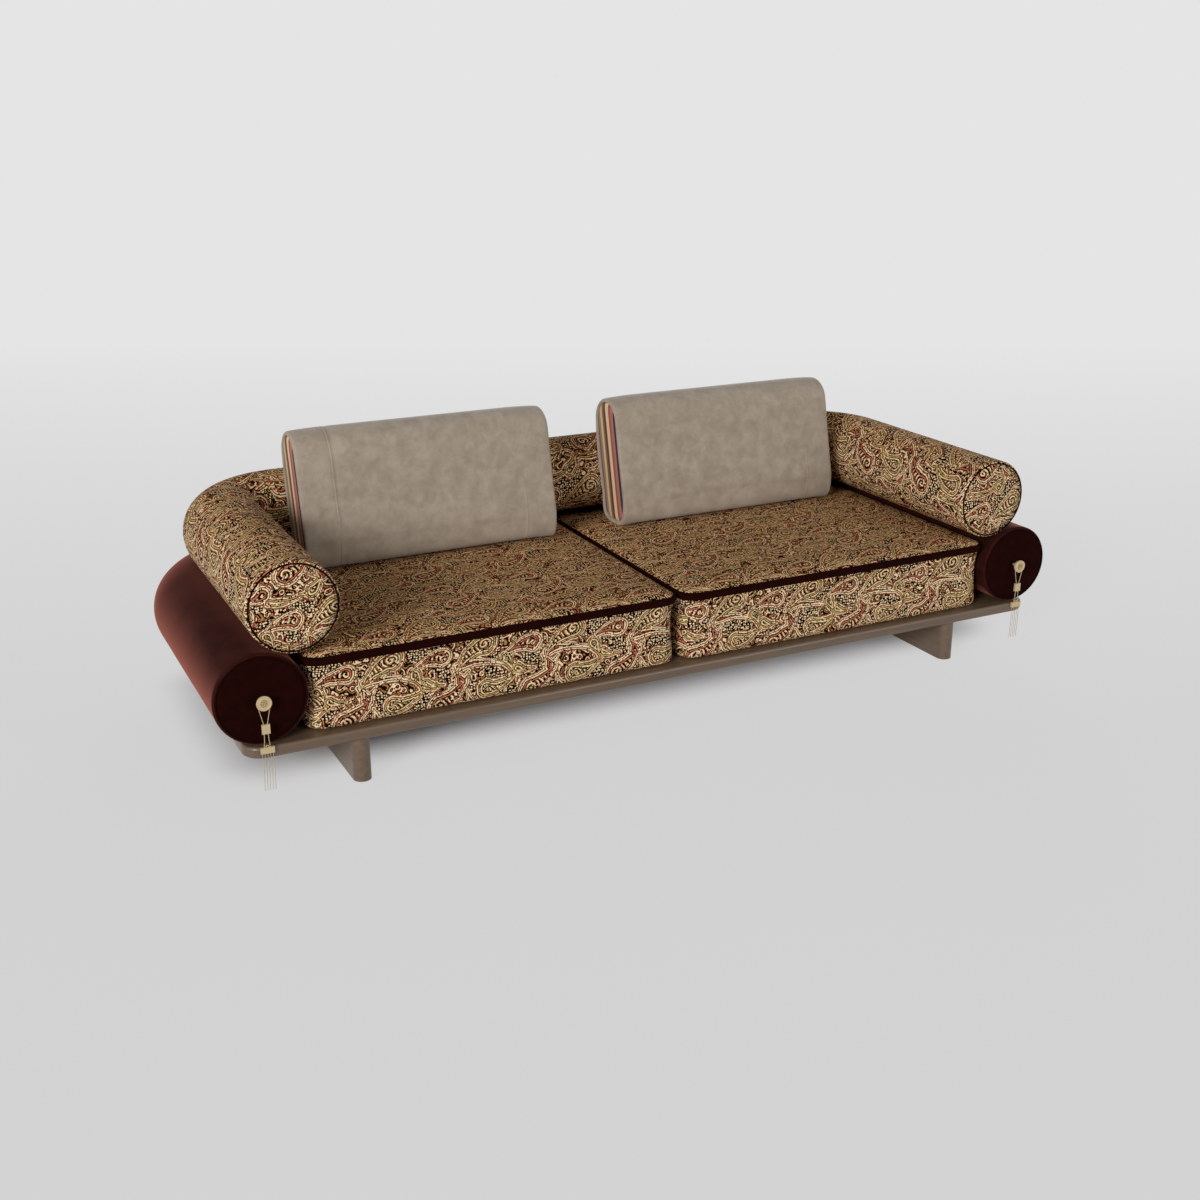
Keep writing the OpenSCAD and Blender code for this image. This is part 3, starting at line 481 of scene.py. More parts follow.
# The paisley cloth, laid flat on tops, fronts and sides, each cut from its own part of the cloth.
# Scale is how much of the drawing covers a metre: under 1000 mm it is coarser than real, so that
# its lines show
def paisleyCloth(name, cut, scale):
    made, add, shader, place = startMaterial(name, Roughness=0.9, Specular_IOR_Level=0.03)
    axes = add("SeparateXYZ", [place]).outputs
    facing = add("VectorMath ABSOLUTE", [place.node.outputs["Normal"]])
    faces = add("SeparateXYZ", [facing]).outputs
    top = add("Math GREATER_THAN", [faces[2], paisley["steep"]])
    across = add("Math GREATER_THAN", [faces[0], faces[1]])
    side = add("Math SUBTRACT", [across, top], use_clamp=True)
    right = add("Mix", {0: side, 2: axes[0], 3: axes[1]})
    up = add("Mix", {0: top, 2: axes[2], 3: axes[1]})
    flat = add("CombineXYZ", [right, up, 0.0])
    shift = add("CombineXYZ", [top, side, 0.0])
    moved = add("VectorMath MULTIPLY_ADD", [shift, paisley["shift"], flat])
    place = add("Mapping", [moved, cut, (0, 0, 0), (scale, scale, scale)])
    cloth = add("Group", {"Place": place}, node_tree=drawing)
    # Painted shade: faces that point up are tinted warmer and a little darker, as the tops get less
    # light
    topShade = add("Math POWER", [faces[2], 2.0])
    topShadedColour = add("Mix", {0: topShade, 6: cloth.outputs["Colour"], 7: "#FFF1E0"},
                 data_type="RGBA", blend_type="MULTIPLY")
    dress(shader, topShadedColour, cloth.outputs["Height"], 0.35, 0.0003)
    return made


seatCloth = paisleyCloth("jacquardPaisleySeats", (0, 12, 0), 880)
rollCloth = paisleyCloth("jacquardPaisleyRolls", (85, 140, 0), 800)
discCloth = paisleyCloth("jacquardPaisleyDiscs", (190, 60, 0), 950)

# Cotton velvet: nearly black burgundy seen straight, with a soft rose sheen where the pile is
# seen from its side, partly the shader's sheen and partly a painted sheen: the base colour turns
# rose as the view grazes; the pile lies differently in patches of about 60 mm, and is drawn
# 1.6 mm coarse, so that it shows
velvet, add, shader, place = startMaterial(
    "cottonVelvet", Roughness=0.9, Specular_IOR_Level=0.1, Sheen_Weight=0.2, Sheen_Roughness=0.3,
    Sheen_Tint=linearColour("#C8705F"))
patches = add("TexNoise", {"Vector": place, "Scale": 1 / 0.06, "Detail": 3.0, "Distortion": 0.4})
pile = add("TexNoise", {"Vector": place, "Scale": 1 / 0.0016, "Detail": 2.0})
mixed = add("Math MULTIPLY_ADD", [pile, 0.25, patches])
tone = add("ValToRGB", [mixed], stops=[(0.4, "#240906"), (0.8, "#36130D")])
# Painted sheen: Layer Weight's facing mixes a rose base colour in where the view grazes the pile
facing = add("LayerWeight", [0.5])
rise = add("MapRange", [facing.outputs["Facing"], 0.62, 1.0, 0.0, 1.0])
paintedSheen = add("Mix", {0: rise, 6: tone, 7: "#B0685A"}, data_type="RGBA")
dress(shader, paintedSheen, mixed, 0.45, 0.0015)

# The same velvet cut tight over the end boards and the piping: darker, with the pile pressed flat
velvetFlat = plainFinish("pressedVelvet", "#1A0402", "#210603", 0.03, 0.0016, 0.0008,
                         Roughness=0.95, Specular_IOR_Level=0.05)

# Polyester suede: greige and matt, brushed one way and then the other in patches of 45 mm, with a
# nap drawn 1.5 mm coarse, so that it shows
suede, add, shader, place = startMaterial(
    "brushedSuede", Roughness=0.92, Sheen_Weight=0.25, Sheen_Roughness=0.6)
patches = add("TexNoise", {"Vector": place, "Scale": 1 / 0.045, "Detail": 6.0,
                           "Roughness": 0.65, "Distortion": 0.3})
nap = add("TexNoise", {"Vector": place, "Scale": 1 / 0.0015, "Detail": 2.0})
mixed = add("Math MULTIPLY_ADD", [nap, 0.2, patches])
tone = add("ValToRGB", [mixed], stops=[(0.38, "#988974"), (0.6, "#A89987"), (0.82, "#B7A897")])
dress(shader, tone, mixed, 0.35, 0.0012)
print("cloths made")

# Rolls: a padded cover each, closed behind its end panels, and the panels and piping

rolls = {
    # An end panel's face is given by radius and height: both are domed, and the lower one is
    # drawn in under its button
    "lower": {"x": 1.2274, "back": 0.4665, "front": -0.5614, "z": 0.283, "bend": 0.3121,
              "folds": 0.0008, "give": 0.0014,
              "face": [(0.0052, 0), (0.018, 0), (0.026, 0.0012), (0.042, 0.0026), (0.06, 0.003),
                       (0.085, 0.0024), (0.103, 0.0012), (0.1145, 0)]},
    "upper": {"x": 1.1243, "back": 0.3634, "front": -0.5469, "z": 0.509, "bend": 0.209,
              "folds": 0.0012, "give": 0.0012, "tight": 10,
              "face": [(0, 0.004), (0.03, 0.0038), (0.06, 0.003), (0.09, 0.0018), (0.1145, 0)]},
    "radius": 0.124, "seam": 0.116, "segments": 64, "step": 0.03, "bendSteps": 24,
    "shoulderSteps": 4, "seamGap": 0.001, "stillFront": 0.01,
    # How fine the dents and the folds in the bend are, per metre, and the folds' count
    "dents": 6, "foldNoise": 9, "foldTurns": 34,
    "discSteps": 96, "pipingSides": 14, "pipingSteps": 110,
    "foamShare": 0.975, "panelSeat": 0.0035, "panelBack": 0.003, "piping": 0.00225,
}


# Extrudes an open ring, and gives the new ring's vertices and edges
def nextRing(bm, edges):
    out = bmesh.ops.extrude_edge_only(bm, edges=edges)["geom"]
    return ([g for g in out if isinstance(g, bmesh.types.BMVert)],
            [g for g in out if isinstance(g, bmesh.types.BMEdge) and g.is_boundary])


# The point of a roll's middle line nearest to a point of its cover
def rollMiddle(point, roll):
    sign = copysign(1, point.x)
    cornerX, cornerY = roll["x"] - roll["bend"], roll["back"] - roll["bend"]
    if point.y < cornerY:
        return Vector((sign * roll["x"], point.y, roll["z"]))
    if abs(point.x) < cornerX:
        return Vector((point.x, roll["back"], roll["z"]))
    corner = Vector((sign * cornerX, cornerY, roll["z"]))
    out = Vector((point.x - corner.x, point.y - cornerY, 0)).normalized()
    return corner + out * roll["bend"]


# Pulls the inner side of a bend back to a tight corner, as the cloth is sewn there
def tighten(point, roll):
    corner = Vector((copysign(roll["x"] - roll["bend"], point.x), roll["back"] - roll["bend"]))
    away = point.xy - corner
    far = away.length
    if abs(point.x) < abs(corner.x) or away.y < 0 or far > roll["bend"] or far < 0.01:
        return point
    inward = (roll["bend"] - far) / rolls["radius"]
    skin = min(1, hypot(roll["bend"] - far, point.z - roll["z"]) / rolls["radius"])
    power = roll["tight"]
    wall = far * far / (abs(away.x) ** power + away.y ** power) ** (1 / power)
    reach = far + sqrt(inward) * skin ** 2 * (wall - far)
    return Vector((*(corner + away * (reach / far)), point.z))


def makeRoll(name, roll, material, node):
    bm = bmesh.new()
    centre = Vector((-roll["x"], roll["front"] + rolls["panelSeat"], roll["z"]))
    upright = Matrix.Rotation(pi / 2, 4, "X")
    now = rolls["seam"] - rolls["seamGap"]
    bmesh.ops.create_circle(bm, cap_ends=True, segments=rolls["segments"], radius=now,
                            matrix=Matrix.Translation(centre) @ upright)
    edges = bm.edges[:]
    shoulder = rolls["radius"] - rolls["seam"]
    turns = [pi / 2 * i / rolls["shoulderSteps"] for i in range(rolls["shoulderSteps"] + 1)]
    steps = [(rolls["seam"] + shoulder * sin(a), roll["front"] + shoulder * (1 - cos(a)))
             for a in turns]
    for radius, y in steps:
        verts, edges = nextRing(bm, edges)
        for v in verts:
            v.co.x = centre.x + (v.co.x - centre.x) * radius / now
            v.co.z = centre.z + (v.co.z - centre.z) * radius / now
            v.co.y = y
        now = radius
    run = roll["back"] - roll["bend"] - steps[-1][1]
    count = round(run / rolls["step"])
    last = bmesh.ops.spin(bm, geom=verts + edges, cent=centre, axis=(0, 0, 1), angle=0,
                          dvec=(0, run / count, 0), steps=count)["geom_last"]
    corner = (-roll["x"] + roll["bend"], roll["back"] - roll["bend"], roll["z"])
    last = bmesh.ops.spin(bm, geom=last, cent=corner, axis=(0, 0, 1), angle=-pi / 2,
                          steps=rolls["bendSteps"])["geom_last"]
    run = roll["x"] - roll["bend"]
    count = round(run / rolls["step"])
    bmesh.ops.spin(bm, geom=last, cent=corner, axis=(0, 0, 1), angle=0,
                   dvec=(run / count, 0, 0), steps=count)
    bmesh.ops.mirror(bm, geom=bm.verts[:] + bm.edges[:] + bm.faces[:], axis="X", merge_dist=0.0001)
    for v in bm.verts:
        if v.co.y < roll["front"] + rolls["stillFront"]:
            continue
        middle = rollMiddle(v.co, roll)
        out = v.co - middle
        sunk = roll["give"] * (0.5 + 0.5 * noise.noise(v.co * rolls["dents"]))
        inner = out.normalized().dot(Vector((-copysign(1, v.co.x), -1, 0)).normalized())
        nearBend = abs(v.co.x) > roll["x"] - roll["bend"] and v.co.y > roll["back"] - roll["bend"]
        if nearBend and inner > 0:
            way = atan2(v.co.y - corner[1], abs(v.co.x) + corner[0])
            wander = 3 * noise.noise(v.co * rolls["foldNoise"])
            sunk += roll["folds"] * inner * (1 + sin(way * rolls["foldTurns"] + wander))
        v.co = middle + out * (1 - sunk / out.length)
        if "tight" in roll:
            v.co = tighten(v.co, roll)
    piece = makePiece(name, bm, material, "base", node)
    smoothOnce(piece)
    return piece


def makeEnds(name, roll, material, node):
    bm = bmesh.new()
    face = roll["face"]
    outline = face + [(face[-1][0], -rolls["panelBack"]), (face[0][0], -rolls["panelBack"])]
    for sign in sides.values():
        centre = Vector((sign * roll["x"], roll["front"], roll["z"]))
        corners = [bm.verts.new(centre + Vector((r, -out, 0))) for r, out in outline]
        lines = [bm.edges.new(pair) for pair in zip(corners, corners[1:] + corners[:1])]
        bmesh.ops.spin(bm, geom=corners + lines, cent=centre, axis=(0, 1, 0), angle=2 * pi,
                       steps=rolls["discSteps"], use_merge=True)
    mergeDoubles(bm)
    loose = [e for e in bm.edges if not e.link_faces]
    bmesh.ops.delete(bm, geom=loose, context="EDGES")
    return makePiece(name, bm, material, "base", node)


def makePiping(name, roll, material, node):
    bm = bmesh.new()
    for sign in sides.values():
        centre = Vector((sign * roll["x"], roll["front"], roll["z"]))
        start = Matrix.Translation(centre + Vector((rolls["seam"], 0, 0)))
        verts = bmesh.ops.create_circle(bm, segments=rolls["pipingSides"], radius=rolls["piping"],
                                        matrix=start)["verts"]
        edges = {e for v in verts for e in v.link_edges}
        bmesh.ops.spin(bm, geom=verts + list(edges), cent=centre, axis=(0, 1, 0),
                       angle=2 * pi, steps=rolls["pipingSteps"], use_merge=True)
    return makePiece(name, bm, material, "base", node)


# A merged copy of one of the CAD's foams, to be drawn in a little under its cover
def copyFoam(node):
    bm = bmesh.new()
    bm.from_mesh(cad[node].data)
    mergeDoubles(bm)
    return bm


made = (("velvet", "lower", velvet, velvetFlat), ("paisley", "upper", rollCloth, discCloth))
for cloth, part, cover, _ in made:
    makeRoll(cloth + "Roll", rolls[part], cover, part + "_cover")
bm = copyFoam("upper_foam")
for v in bm.verts:
    middle = rollMiddle(v.co, rolls["upper"])
    out = v.co - middle
    if out.length > rolls["radius"] / 2:
        v.co = middle + out * rolls["foamShare"]
    v.co = tighten(v.co, rolls["upper"])
makePiece("paisleyRollFoam", bm, finishes["foam"], "base", "upper_foam")
for cloth, part, _, ends in made:
    makeEnds(cloth + "Ends", rolls[part], ends, part + "_end_panels")
for cloth, part, *_ in made:
    makePiping(cloth + "Piping", rolls[part], velvetFlat, part + "_piping")
print("rolls made")


# Swells a closed form as cloth under pressure. Pinned vertices stay, none goes further than the
# limit, and the filling lets none go inwards
def swell(bm, pinned, pressure, limit, frames=20):
    bmesh.ops.recalc_face_normals(bm, faces=bm.faces[:])
    bm.normal_update()
    mesh = bpy.data.meshes.new("swelling")
    bm.to_mesh(mesh)
    holder = bpy.data.objects.new("swelling", mesh)
    scene.collection.objects.link(holder)
    holder.vertex_groups.new(name="pinned").add([v.index for v in pinned], 1, "REPLACE")
    cloth = holder.modifiers.new("cloth", "CLOTH")
    cloth.settings.quality = 5
    cloth.settings.mass = 0.3
    cloth.settings.use_pressure = True
    cloth.settings.uniform_pressure_force = pressure
    cloth.settings.vertex_group_mass = "pinned"
    cloth.settings.effector_weights.gravity = 0
    cloth.point_cache.frame_start = 1
    cloth.point_cache.frame_end = frames
    for f in range(1, frames + 1):
        scene.frame_set(f)
    swollen = holder.evaluated_get(bpy.context.evaluated_depsgraph_get()).to_mesh()
    for v, moved in zip(bm.verts, swollen.vertices):
        step = moved.co - v.co
        step -= v.normal * min(0, step.dot(v.normal))
        v.co += step * min(1, limit / max(step.length, 0.000001))
    bpy.data.objects.remove(holder)
    bpy.data.meshes.remove(mesh)
    scene.frame_set(1)


# Seat cushions, drawn as the right one and mirrored

seat = {
    "low": (0.004, -0.5569), "high": (1.114, 0.3531), "foot": 0.159, "top": 0.212, "crown": 0.009,
    # Corner radii by the side they are on: inner or outer, front or back
    "corners": {(0, 0): 0.054, (1, 0): 0.054, (1, 1): 0.2011, (0, 1): 0.04},
    # Height, draw from the outline, and further draw between the corners, in millimetres
    "rows": [(0, 21, 0), (3, 11, 0), (10, 5, 0), (24, 3, 0), (52, 6.5, 1.5), (77, 8.8, 3),
             (100, 10, 3.5), (124, 11, 4), (150, 9.8, 3), (170, 6.5, 2), (185, 2.6, 0),
             (191, 2.6, 0), (197, 2.6, 0), (203, 2.6, 0), (205.5, 6.5, 0)],
    "cells": (62, 50), "bandRows": (10, 13), "bandOut": 0.0024, "pressure": 4.0,
    "startDraw": 0.0026, "limit": 0.003, "foamShare": (0.988, 0.985, 0.97),
}


# Where a point of the unit square lies in the cushion's plan
def placeInPlan(a, b, inset, dip):
    point = []
    for share, other, low, high in zip((a, b), (b, a), seat["low"], seat["high"]):
        pulled = inset + dip * (1 - (2 * other - 1) ** 4)
        point.append(low + pulled + share * (high - low - 2 * pulled))
    outer, back = int(a > 0.5), int(b > 0.5)
    radius = seat["corners"][outer, back] - inset
    turn = [1 if outer else -1, 1 if back else -1]
    edges = [(seat["high"] if s > 0 else seat["low"])[i] - s * inset for i, s in enumerate(turn)]
    u, v = [max(0, 1 - abs(p - e) / radius) for p, e in zip(point, edges)]
    if u > 0 and v > 0:
        point[0] = edges[0] - turn[0] * radius * (1 - u * sqrt(1 - v * v / 2))
        point[1] = edges[1] - turn[1] * radius * (1 - v * sqrt(1 - u * u / 2))
    return point


def seatForm():
    bm = bmesh.new()
    bmesh.ops.create_cube(bm, size=1, matrix=Matrix.Translation((0.5, 0.5, 0.5)))
    cuts = (*(n - 1 for n in seat["cells"]), len(seat["rows"]) - 2)
    for axis, count in enumerate(cuts):
        runs = [e for e in bm.edges if abs((e.verts[0].co - e.verts[1].co)[axis]) > 0.5]
        bmesh.ops.subdivide_edges(bm, edges=runs, cuts=count, use_grid_fill=True)
    level = bm.verts.layers.int.new("level")
    for v in bm.verts:
        a, b, c = v.co
        k = round(c * (len(seat["rows"]) - 1))
        v[level] = k
        height, inset, dip = seat["rows"][k]
        z = height / 1000
        side = min(a, 1 - a, b, 1 - b) < 0.001
        lowered = seat["startDraw"] if 2 <= k < seat["bandRows"][0] else 0
        if k == len(seat["rows"]) - 1 and not side:
            s = max(abs(2 * a - 1), abs(2 * b - 1))
            z = seat["top"] + (seat["crown"] - seat["startDraw"]) * (1 - s ** 6)
        x, y = placeInPlan(a, b, inset / 1000 + lowered, dip / 1000)
        v.co = (x, y, seat["foot"] + z)
    return bm, level


shaped, level = seatForm()
top = len(seat["rows"]) - 1
edgeVerts = {v for v in shaped.verts if any(o[level] < top for e in v.link_edges for o in e.verts)}
pinned = [v for v in shaped.verts
          if v[level] < 2 or (v in edgeVerts and v[level] >= seat["bandRows"][0])]
shaped.verts.index_update()
swell(shaped, pinned, seat["pressure"], seat["limit"])
shaped.normal_update()
for side, sign in sides.items():
    bm = shaped.copy()
    # The band turns over the top edge
    band = bm.copy()
    level = band.verts.layers.int["level"]
    first, last = seat["bandRows"]
    other = [f for f in band.faces if any(v[level] < first for v in f.verts)
             or all(v[level] > last for v in f.verts)]
    bmesh.ops.delete(band, geom=other, context="FACES")
    bmesh.ops.recalc_face_normals(band, faces=band.faces[:])
    bmesh.ops.solidify(band, geom=band.faces[:], thickness=-seat["bandOut"])
    for made in (bm, band):
        bmesh.ops.scale(made, vec=(sign, 1, 1), verts=made.verts[:])
    cover = makePiece("seatCover_" + side, bm, seatCloth, "seat_" + side,
                      "seat_cover_" + side)
    smoothOnce(cover)
    makePiece("seatBand_" + side, band, velvetFlat, "seat_" + side,
              "seat_band_" + side)
    foam = copyFoam("seat_foam_" + side)
    middle = [(a + b) / 2 for a, b in zip(seat["low"], seat["high"])]
    middle = Vector((sign * middle[0], middle[1], seat["foot"]))
    for v in foam.verts:
        v.co = middle + Vector(a * b for a, b in zip(v.co - middle, seat["foamShare"]))
    makePiece("seatFoam_" + side, foam, finishes["foam"], "seat_" + side,
              "seat_foam_" + side)
print("seat cushions made")


# Back cushions: a suede mat folded round a striped inner cushion. They are made upright round
# X, with the lower fold's middle at the origin, and then leant back

pad = {
    "radius": 0.081, "straight": 0.257, "crown": 0.004, "half": 0.406, "lean": 12.5,
    "middleY": 0.1384, "foldZ": 0.4616, "x": {"left": -0.516, "right": 0.534},
    "segments": 64, "wallRows": 18, "step": 0.0133,
    # The rim from the face round to the hollow: distance from the end, and draw from the outside
    "rim": [(0.0085, 0), (0.0042, 0.001), (0.0012, 0.0035), (0, 0.0068), (0.0002, 0.011),
            (0.0022, 0.0138), (0.008, 0.0146), (0.02, 0.0172), (0.034, 0.0214)],
    "hollowSteps": 8, "seams": (-0.298, 0.303), "seamHalf": 0.003, "seamDepth": 0.0017,
    # How deep each seam is sewn; those under 1 fade upwards between two heights
    "sewn": {"left": (1, 0.5), "right": (0.25, 0.5)}, "seamFade": (0.036, 0.126), "skin": 0.006,
    "welt": 0.0004, "thinner": 0.04, "lower": 0.1, "taperFrom": 0.3, "sag": 0.04, "squash": 3.4,
    "gape": 0.012, "gapeFrom": 0.2, "striped": (0.067, -0.065),
    "core": [(-0.0004, 0.05), (0, 0.036), (0.0008, 0.026), (0.0024, 0.0195), (0.0052, 0.0162),
             (0.01, 0.0158), (0.02, 0.018), (0.034, 0.0222)],
    "pressure": 4.0, "startDraw": 0.003, "limit": 0.007,
}


# The point of the cushion's middle sheet nearest to a vertex, and the way out from there
def fromSheet(v):
    middle = Vector((v.co.x, 0, min(max(v.co.z, 0), pad["straight"])))
    return middle, v.co - middle


# A ring of the slot-shaped section
def slotRing(bm, x, draw):
    turn = Matrix.Translation((x, 0, 0)) @ Matrix.Rotation(pi / 2, 4, "Y")
    turn = turn @ Matrix.Rotation(pi / pad["segments"], 4, "Z")
    verts = bmesh.ops.create_circle(bm, segments=pad["segments"],
                                    radius=pad["radius"] - draw, matrix=turn)["verts"]
    for v in verts:
        if v.co.z > 0:
            v.co.z += pad["straight"]
    edges = {e for v in verts for e in v.link_edges}
    tall = [e for e in edges if abs(e.verts[0].co.z - e.verts[1].co.z) > 0.1]
    bmesh.ops.subdivide_edges(bm, edges=tall, cuts=pad["wallRows"])
    return [e for e in bm.edges if e.is_wire]


# Goes on with the section to the next place along the cushion
def slotOn(bm, edges, x, draw):
    verts, edges = nextRing(bm, edges)
    for v in verts:
        middle, out = fromSheet(v)
        v.co = middle + out.normalized() * (pad["radius"] - draw)
        v.co.x = x
    return edges


def wrapForm():
    bm = bmesh.new()
    half = pad["half"]
    rim = [(half - far, draw) for far, draw in pad["rim"]]
    flat = rim[0][0]
    count = round(2 * flat / pad["step"])
    line = [-flat + 2 * flat * i / count for i in range(1, count)]
    for seam in pad["seams"]:
        line = [x for x in line if abs(x - seam) > 2.2 * pad["seamHalf"]]
        line += [seam + k * pad["seamHalf"] for k in (-1, 0, 1)]
    hollow = rim[-1][0]
    inner = [hollow - 2 * hollow * i / pad["hollowSteps"] for i in range(1, pad["hollowSteps"])]
    route = [(x, 0) for x in sorted(line)] + rim
    route += [(x, rim[-1][1]) for x in inner] + [(-x, draw) for x, draw in reversed(rim)]
    edges = slotRing(bm, -flat, 0)
    for x, draw in route:
        edges = slotOn(bm, edges, x, draw)
    mergeDoubles(bm)
    return bm


# The ends are lower and thinner than the middle, and gape a little at the back. The cushion's
# weight makes the lower fold thicker
def settle(bm):
    for v in bm.verts:
        start, half = pad["taperFrom"], pad["half"]
        share = max(0, abs(v.co.x) - start) / (half - start)
        up = v.co.z / pad["straight"]
        low = max(0, 1 - 2 * max(0, up))
        middle, _ = fromSheet(v)
        v.co.y *= (1 - pad["thinner"] * share ** 2) * (1 + pad["sag"] * low)
        if v.co.z > middle.z:
            v.co.z = middle.z + (v.co.z - middle.z) * (1 - pad["lower"] * share ** 2)
        rise = (up - pad["gapeFrom"]) / (1 - pad["gapeFrom"])
        if v.co.y > 0 and 0 < rise < 1:
            gape = pad["gape"] * sin(pi * rise) * (v.co.x / half) ** 2
            v.co.y += gape * min(1, v.co.y / pad["radius"])


# The wrap is drawn in along its seams, with a small welt in the middle of each
def sew(bm, depths):
    crease = bm.edges.layers.float.new("crease_edge")
    outside = pad["radius"] - pad["skin"]
    near = 1.5 * pad["seamHalf"]
    for v in bm.verts:
        middle, out = fromSheet(v)
        for seam, depth in zip(pad["seams"], depths):
            if out.length > outside and abs(v.co.x - seam) < near:
                if depth < 1:
                    full, gone = pad["seamFade"]
                    depth *= min(1, max(0, (gone - v.co.z) / (gone - full)))
                raised = abs(v.co.x - seam) < 0.5 * pad["seamHalf"]
                draw = pad["welt"] if raised else -pad["seamDepth"]
                v.co = middle + out.normalized() * (out.length + draw * depth)
    for e in bm.edges:
        first, second = e.verts
        along = abs(first.co.x - second.co.x) < 0.0001
        if along and any(abs(first.co.x - seam) < near for seam in pad["seams"]):
            e[crease] = 1


# Leans the cushion back on its seat, where the lower fold is pressed flatter
def leanBack(bm, lean):
    bmesh.ops.transform(bm, matrix=lean, verts=bm.verts[:])
    fold = lean.translation
    power = pad["squash"]
    for v in bm.verts:
        away = v.co - fold
        if away.z < 0:
            flat = (abs(away.y) ** power + abs(away.z) ** power) ** (1 / power)
            v.co.yz = fold.yz + away.yz * (away.yz.length / flat)


# The outer face is free to swell, and the rims and the hollow are not
wrap = wrapForm()
outside = pad["radius"] - pad["skin"]
flat = pad["half"] - pad["rim"][0][0]
loose = []
for v in wrap.verts:
    _, out = fromSheet(v)
    if abs(v.co.x) < flat - 0.001 and out.length > outside:
        loose.append(v)
        share = abs(v.co.x) / pad["half"]
        v.co -= out.normalized() * pad["startDraw"] * min(1, 6 * (1 - share))
wrap.verts.index_update()
swell(wrap, list(set(wrap.verts) - set(loose)), pad["pressure"], pad["limit"])
for v in loose:
    middle, out = fromSheet(v)
    share = abs(v.co.x) / pad["half"]
    most = pad["radius"] + pad["crown"] * abs(out.normalized().y) * (1 - share ** 3)
    v.co = middle + out.normalized() * min(out.length, most)
wrap.normal_update()

# Stripes of the inner cushion's cotton, across its thickness
stripes = [(0, "#A8957E"), (0.07, "#7A2A30"), (0.13, "#93826F"), (0.25, "#DDBB88"),
           (0.36, "#75634F"), (0.45, "#6A1D1D"), (0.55, "#E4CCA0"), (0.7, "#A5503D"),
           (0.8, "#B0706A"), (0.91, "#2C2433")]
for side, x in pad["x"].items():
    lean = Matrix.Translation((x, pad["middleY"], pad["foldZ"]))
    lean = lean @ Matrix.Rotation(radians(-pad["lean"]), 4, "X")
    body = "back_cushion_" + side
    bm = wrap.copy()
    sew(bm, pad["sewn"][side])
    settle(bm)
    leanBack(bm, lean)
    piece = makePiece("suedeWrap_" + side, bm, suede, body, "pad_wrap_" + side)
    smoothOnce(piece)

    # Woven cotton stripes: matt, flat yarns of 1 mm
    stripe, add, shader, place = startMaterial(
        "stripedCotton_" + side, Roughness=0.85, Sheen_Weight=0.1)
    upright = add("Mapping", [place, (x, pad["middleY"], pad["foldZ"]),
                              (radians(-pad["lean"]), 0, 0)], vector_type="TEXTURE")
    across = add("SeparateXYZ", [upright]).outputs[1]
    share = add("MapRange", [across, *pad["striped"], 0.0, 1.0])
    tone = add("ValToRGB", [share], stops=stripes)
    tone.color_ramp.interpolation = "CONSTANT"
    yarn = add("TexNoise", {"Vector": place, "Scale": 1 / 0.001, "Detail": 2.0})
    dress(shader, tone, yarn, 0.4, 0.0004)

    bm = bmesh.new()
    ends = [(pad["half"] - far, draw) for far, draw in pad["core"]]
    edges = slotRing(bm, -ends[0][0], ends[0][1])
    bmesh.ops.holes_fill(bm, edges=edges)
    edges = bm.edges[:]
    for at, draw in [(-a, d) for a, d in ends[1:]] + list(reversed(ends)):
        edges = slotOn(bm, edges, at, draw)
    bmesh.ops.holes_fill(bm, edges=edges)
    settle(bm)
    leanBack(bm, lean)
    piece = makePiece("stripedCore_" + side, bm, stripe, body, "pad_core_" + side)
print("back cushions made")


# Studio: a pale floor that runs into the background, and plain soft light

studio = {
    "floorColour": "#F0F0F1", "backdrop": "#E5E5E5", "floorSize": 24, "fadeFrom": -0.6, "fadeTo": 6,
    "fadeWay": (0.448, 0.894, 0), "nearTone": "#D7D7D7", "even": 0.85, "shadowed": 0.0,
    "shadowBox": (1.15, 0.29, 0), "shadowReach": 0.22, "clear": 4.0, "worldStrength": 0.2,
    # Place, size and power of the lamps; each looks at the sofa's middle
    "lamps": {"key": ((-12.9, -9.4, 5.6), 6.0, 1690), "fill": ((4.6, -8.6, 2.6), 4.0, 150),
              "back": ((6.0, 8.4, 2.6), 5.0, 420)},
    "aim": (0, -0.1, 0.35),
}

bm = bmesh.new()
bmesh.ops.create_circle(bm, cap_ends=True, segments=96, radius=studio["floorSize"])
mesh = bpy.data.meshes.new("floor")
bm.to_mesh(mesh)
bm.free()
floor = bpy.data.objects.new("floor", mesh)
scene.collection.objects.link(floor)


# Rays that see the backdrop: those of the camera, of reflections and of what shows through
def seenRays(add):
    ray = add("LightPath").outputs
    seen = add("Math ADD", [ray["Is Camera Ray"], ray["Is Glossy Ray"]], use_clamp=True)
    return add("Math ADD", [seen, ray["Is Transmission Ray"]], use_clamp=True)


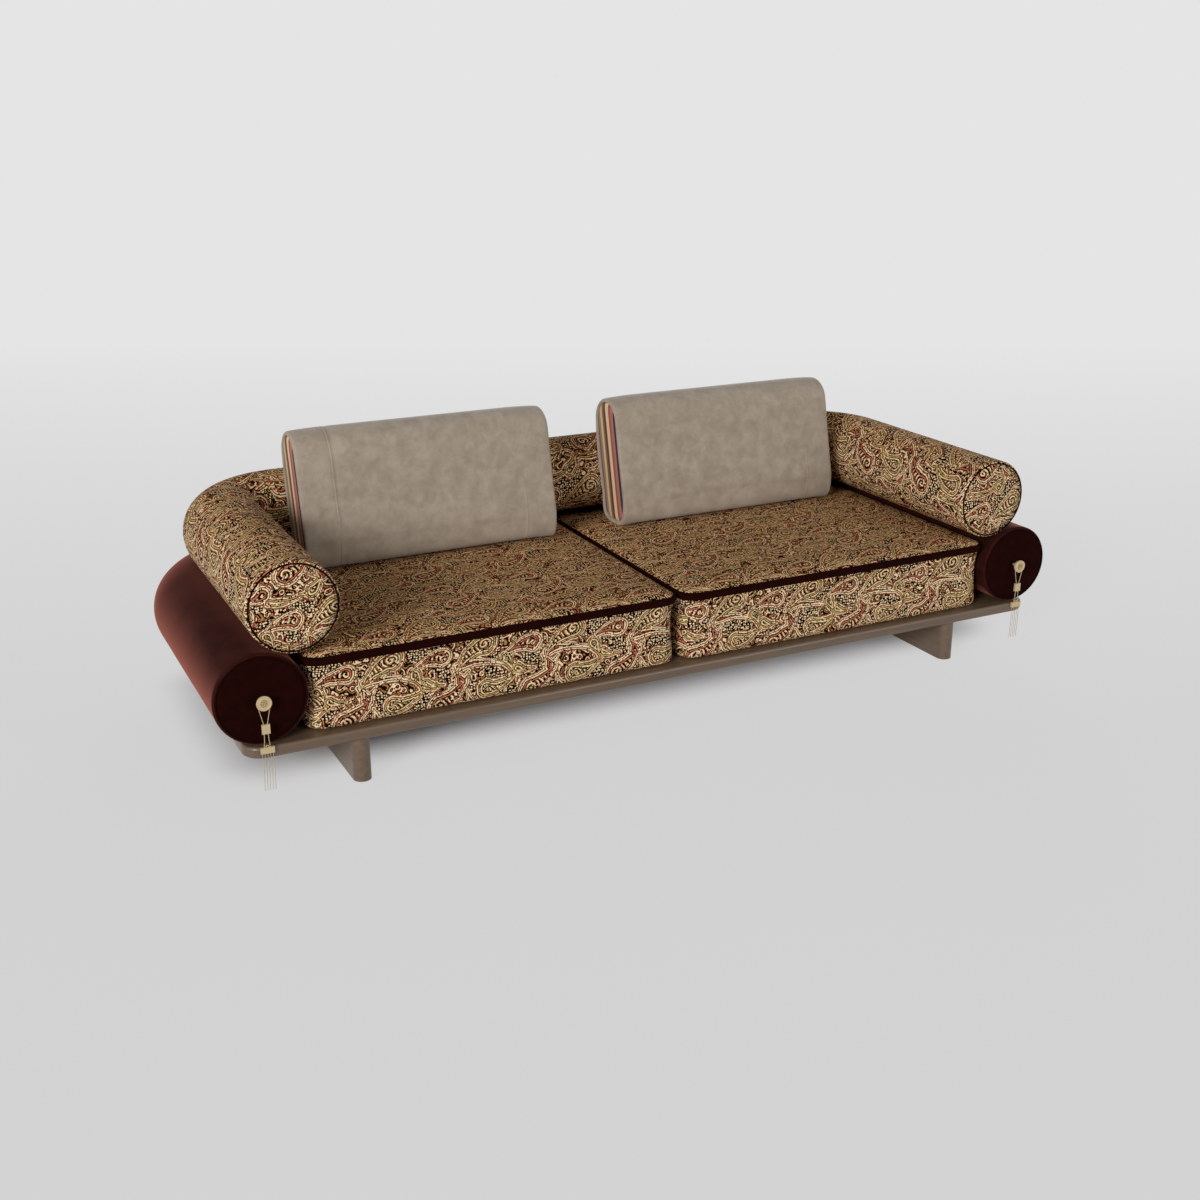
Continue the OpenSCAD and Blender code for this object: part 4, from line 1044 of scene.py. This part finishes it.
# Painted studio floor: matt grey that keeps the shadows under the sofa, has one even tone round
# it, and takes the background's own tone far away
floorPaint, add, shader, place = startMaterial(
    "paintedFloor", Roughness=0.9, Base_Color=linearColour(studio["floorColour"]))
behind = add("VectorMath DOT_PRODUCT", [place, studio["fadeWay"]])
aside = add("VectorMath LENGTH", [place])
aside = add("Math SUBTRACT", [aside, studio["clear"]])
distance = add("Math MAXIMUM", [behind, aside])
fade = add("MapRange", [distance, studio["fadeFrom"], studio["fadeTo"], 0.0, 1.0])
seen = seenRays(add)
reach = add("VectorMath ABSOLUTE", [place])
reach = add("VectorMath SUBTRACT", [reach, studio["shadowBox"]])
reach = add("VectorMath MAXIMUM", [reach, (0, 0, 0)])
reach = add("VectorMath LENGTH", [reach])
even = add("MapRange", [reach, 0.0, studio["shadowReach"], studio["shadowed"],
                        studio["even"]], interpolation_type="SMOOTHSTEP")
even = add("Math MULTIPLY", [even, seen])
near = add("MixShader", [even, shader, add("Emission", [studio["nearTone"]])])
far = add("Math MULTIPLY", [fade, seen])
both = add("MixShader", [far, near, add("Emission", [studio["backdrop"]])])
tree = floorPaint.node_tree
tree.links.new(both.outputs[0], tree.nodes["Material Output"].inputs["Surface"])
mesh.materials.append(floorPaint)

world = bpy.data.worlds.new("studio")
world.use_nodes = True
scene.world = world
world.node_tree.nodes.clear()
add = partial(addNode, world.node_tree)
seen = seenRays(add)
soft = add("Background", ["#FFFFFF", studio["worldStrength"]])
pale = add("Background", [studio["backdrop"], 1.0])
mixed = add("MixShader", [seen, soft, pale])
add("OutputWorld", {"Surface": mixed})

for name, (at, size, power) in studio["lamps"].items():
    lampData = bpy.data.lights.new(name, "AREA")
    lampData.shape = "DISK"
    lampData.size = size
    lampData.energy = power
    lamp = bpy.data.objects.new(name, lampData)
    lamp.location = at
    lamp.rotation_euler = (Vector(studio["aim"]) - Vector(at)).to_track_quat("-Z", "Y").to_euler()
    scene.collection.objects.link(lamp)

scene.view_settings.view_transform = "Standard"
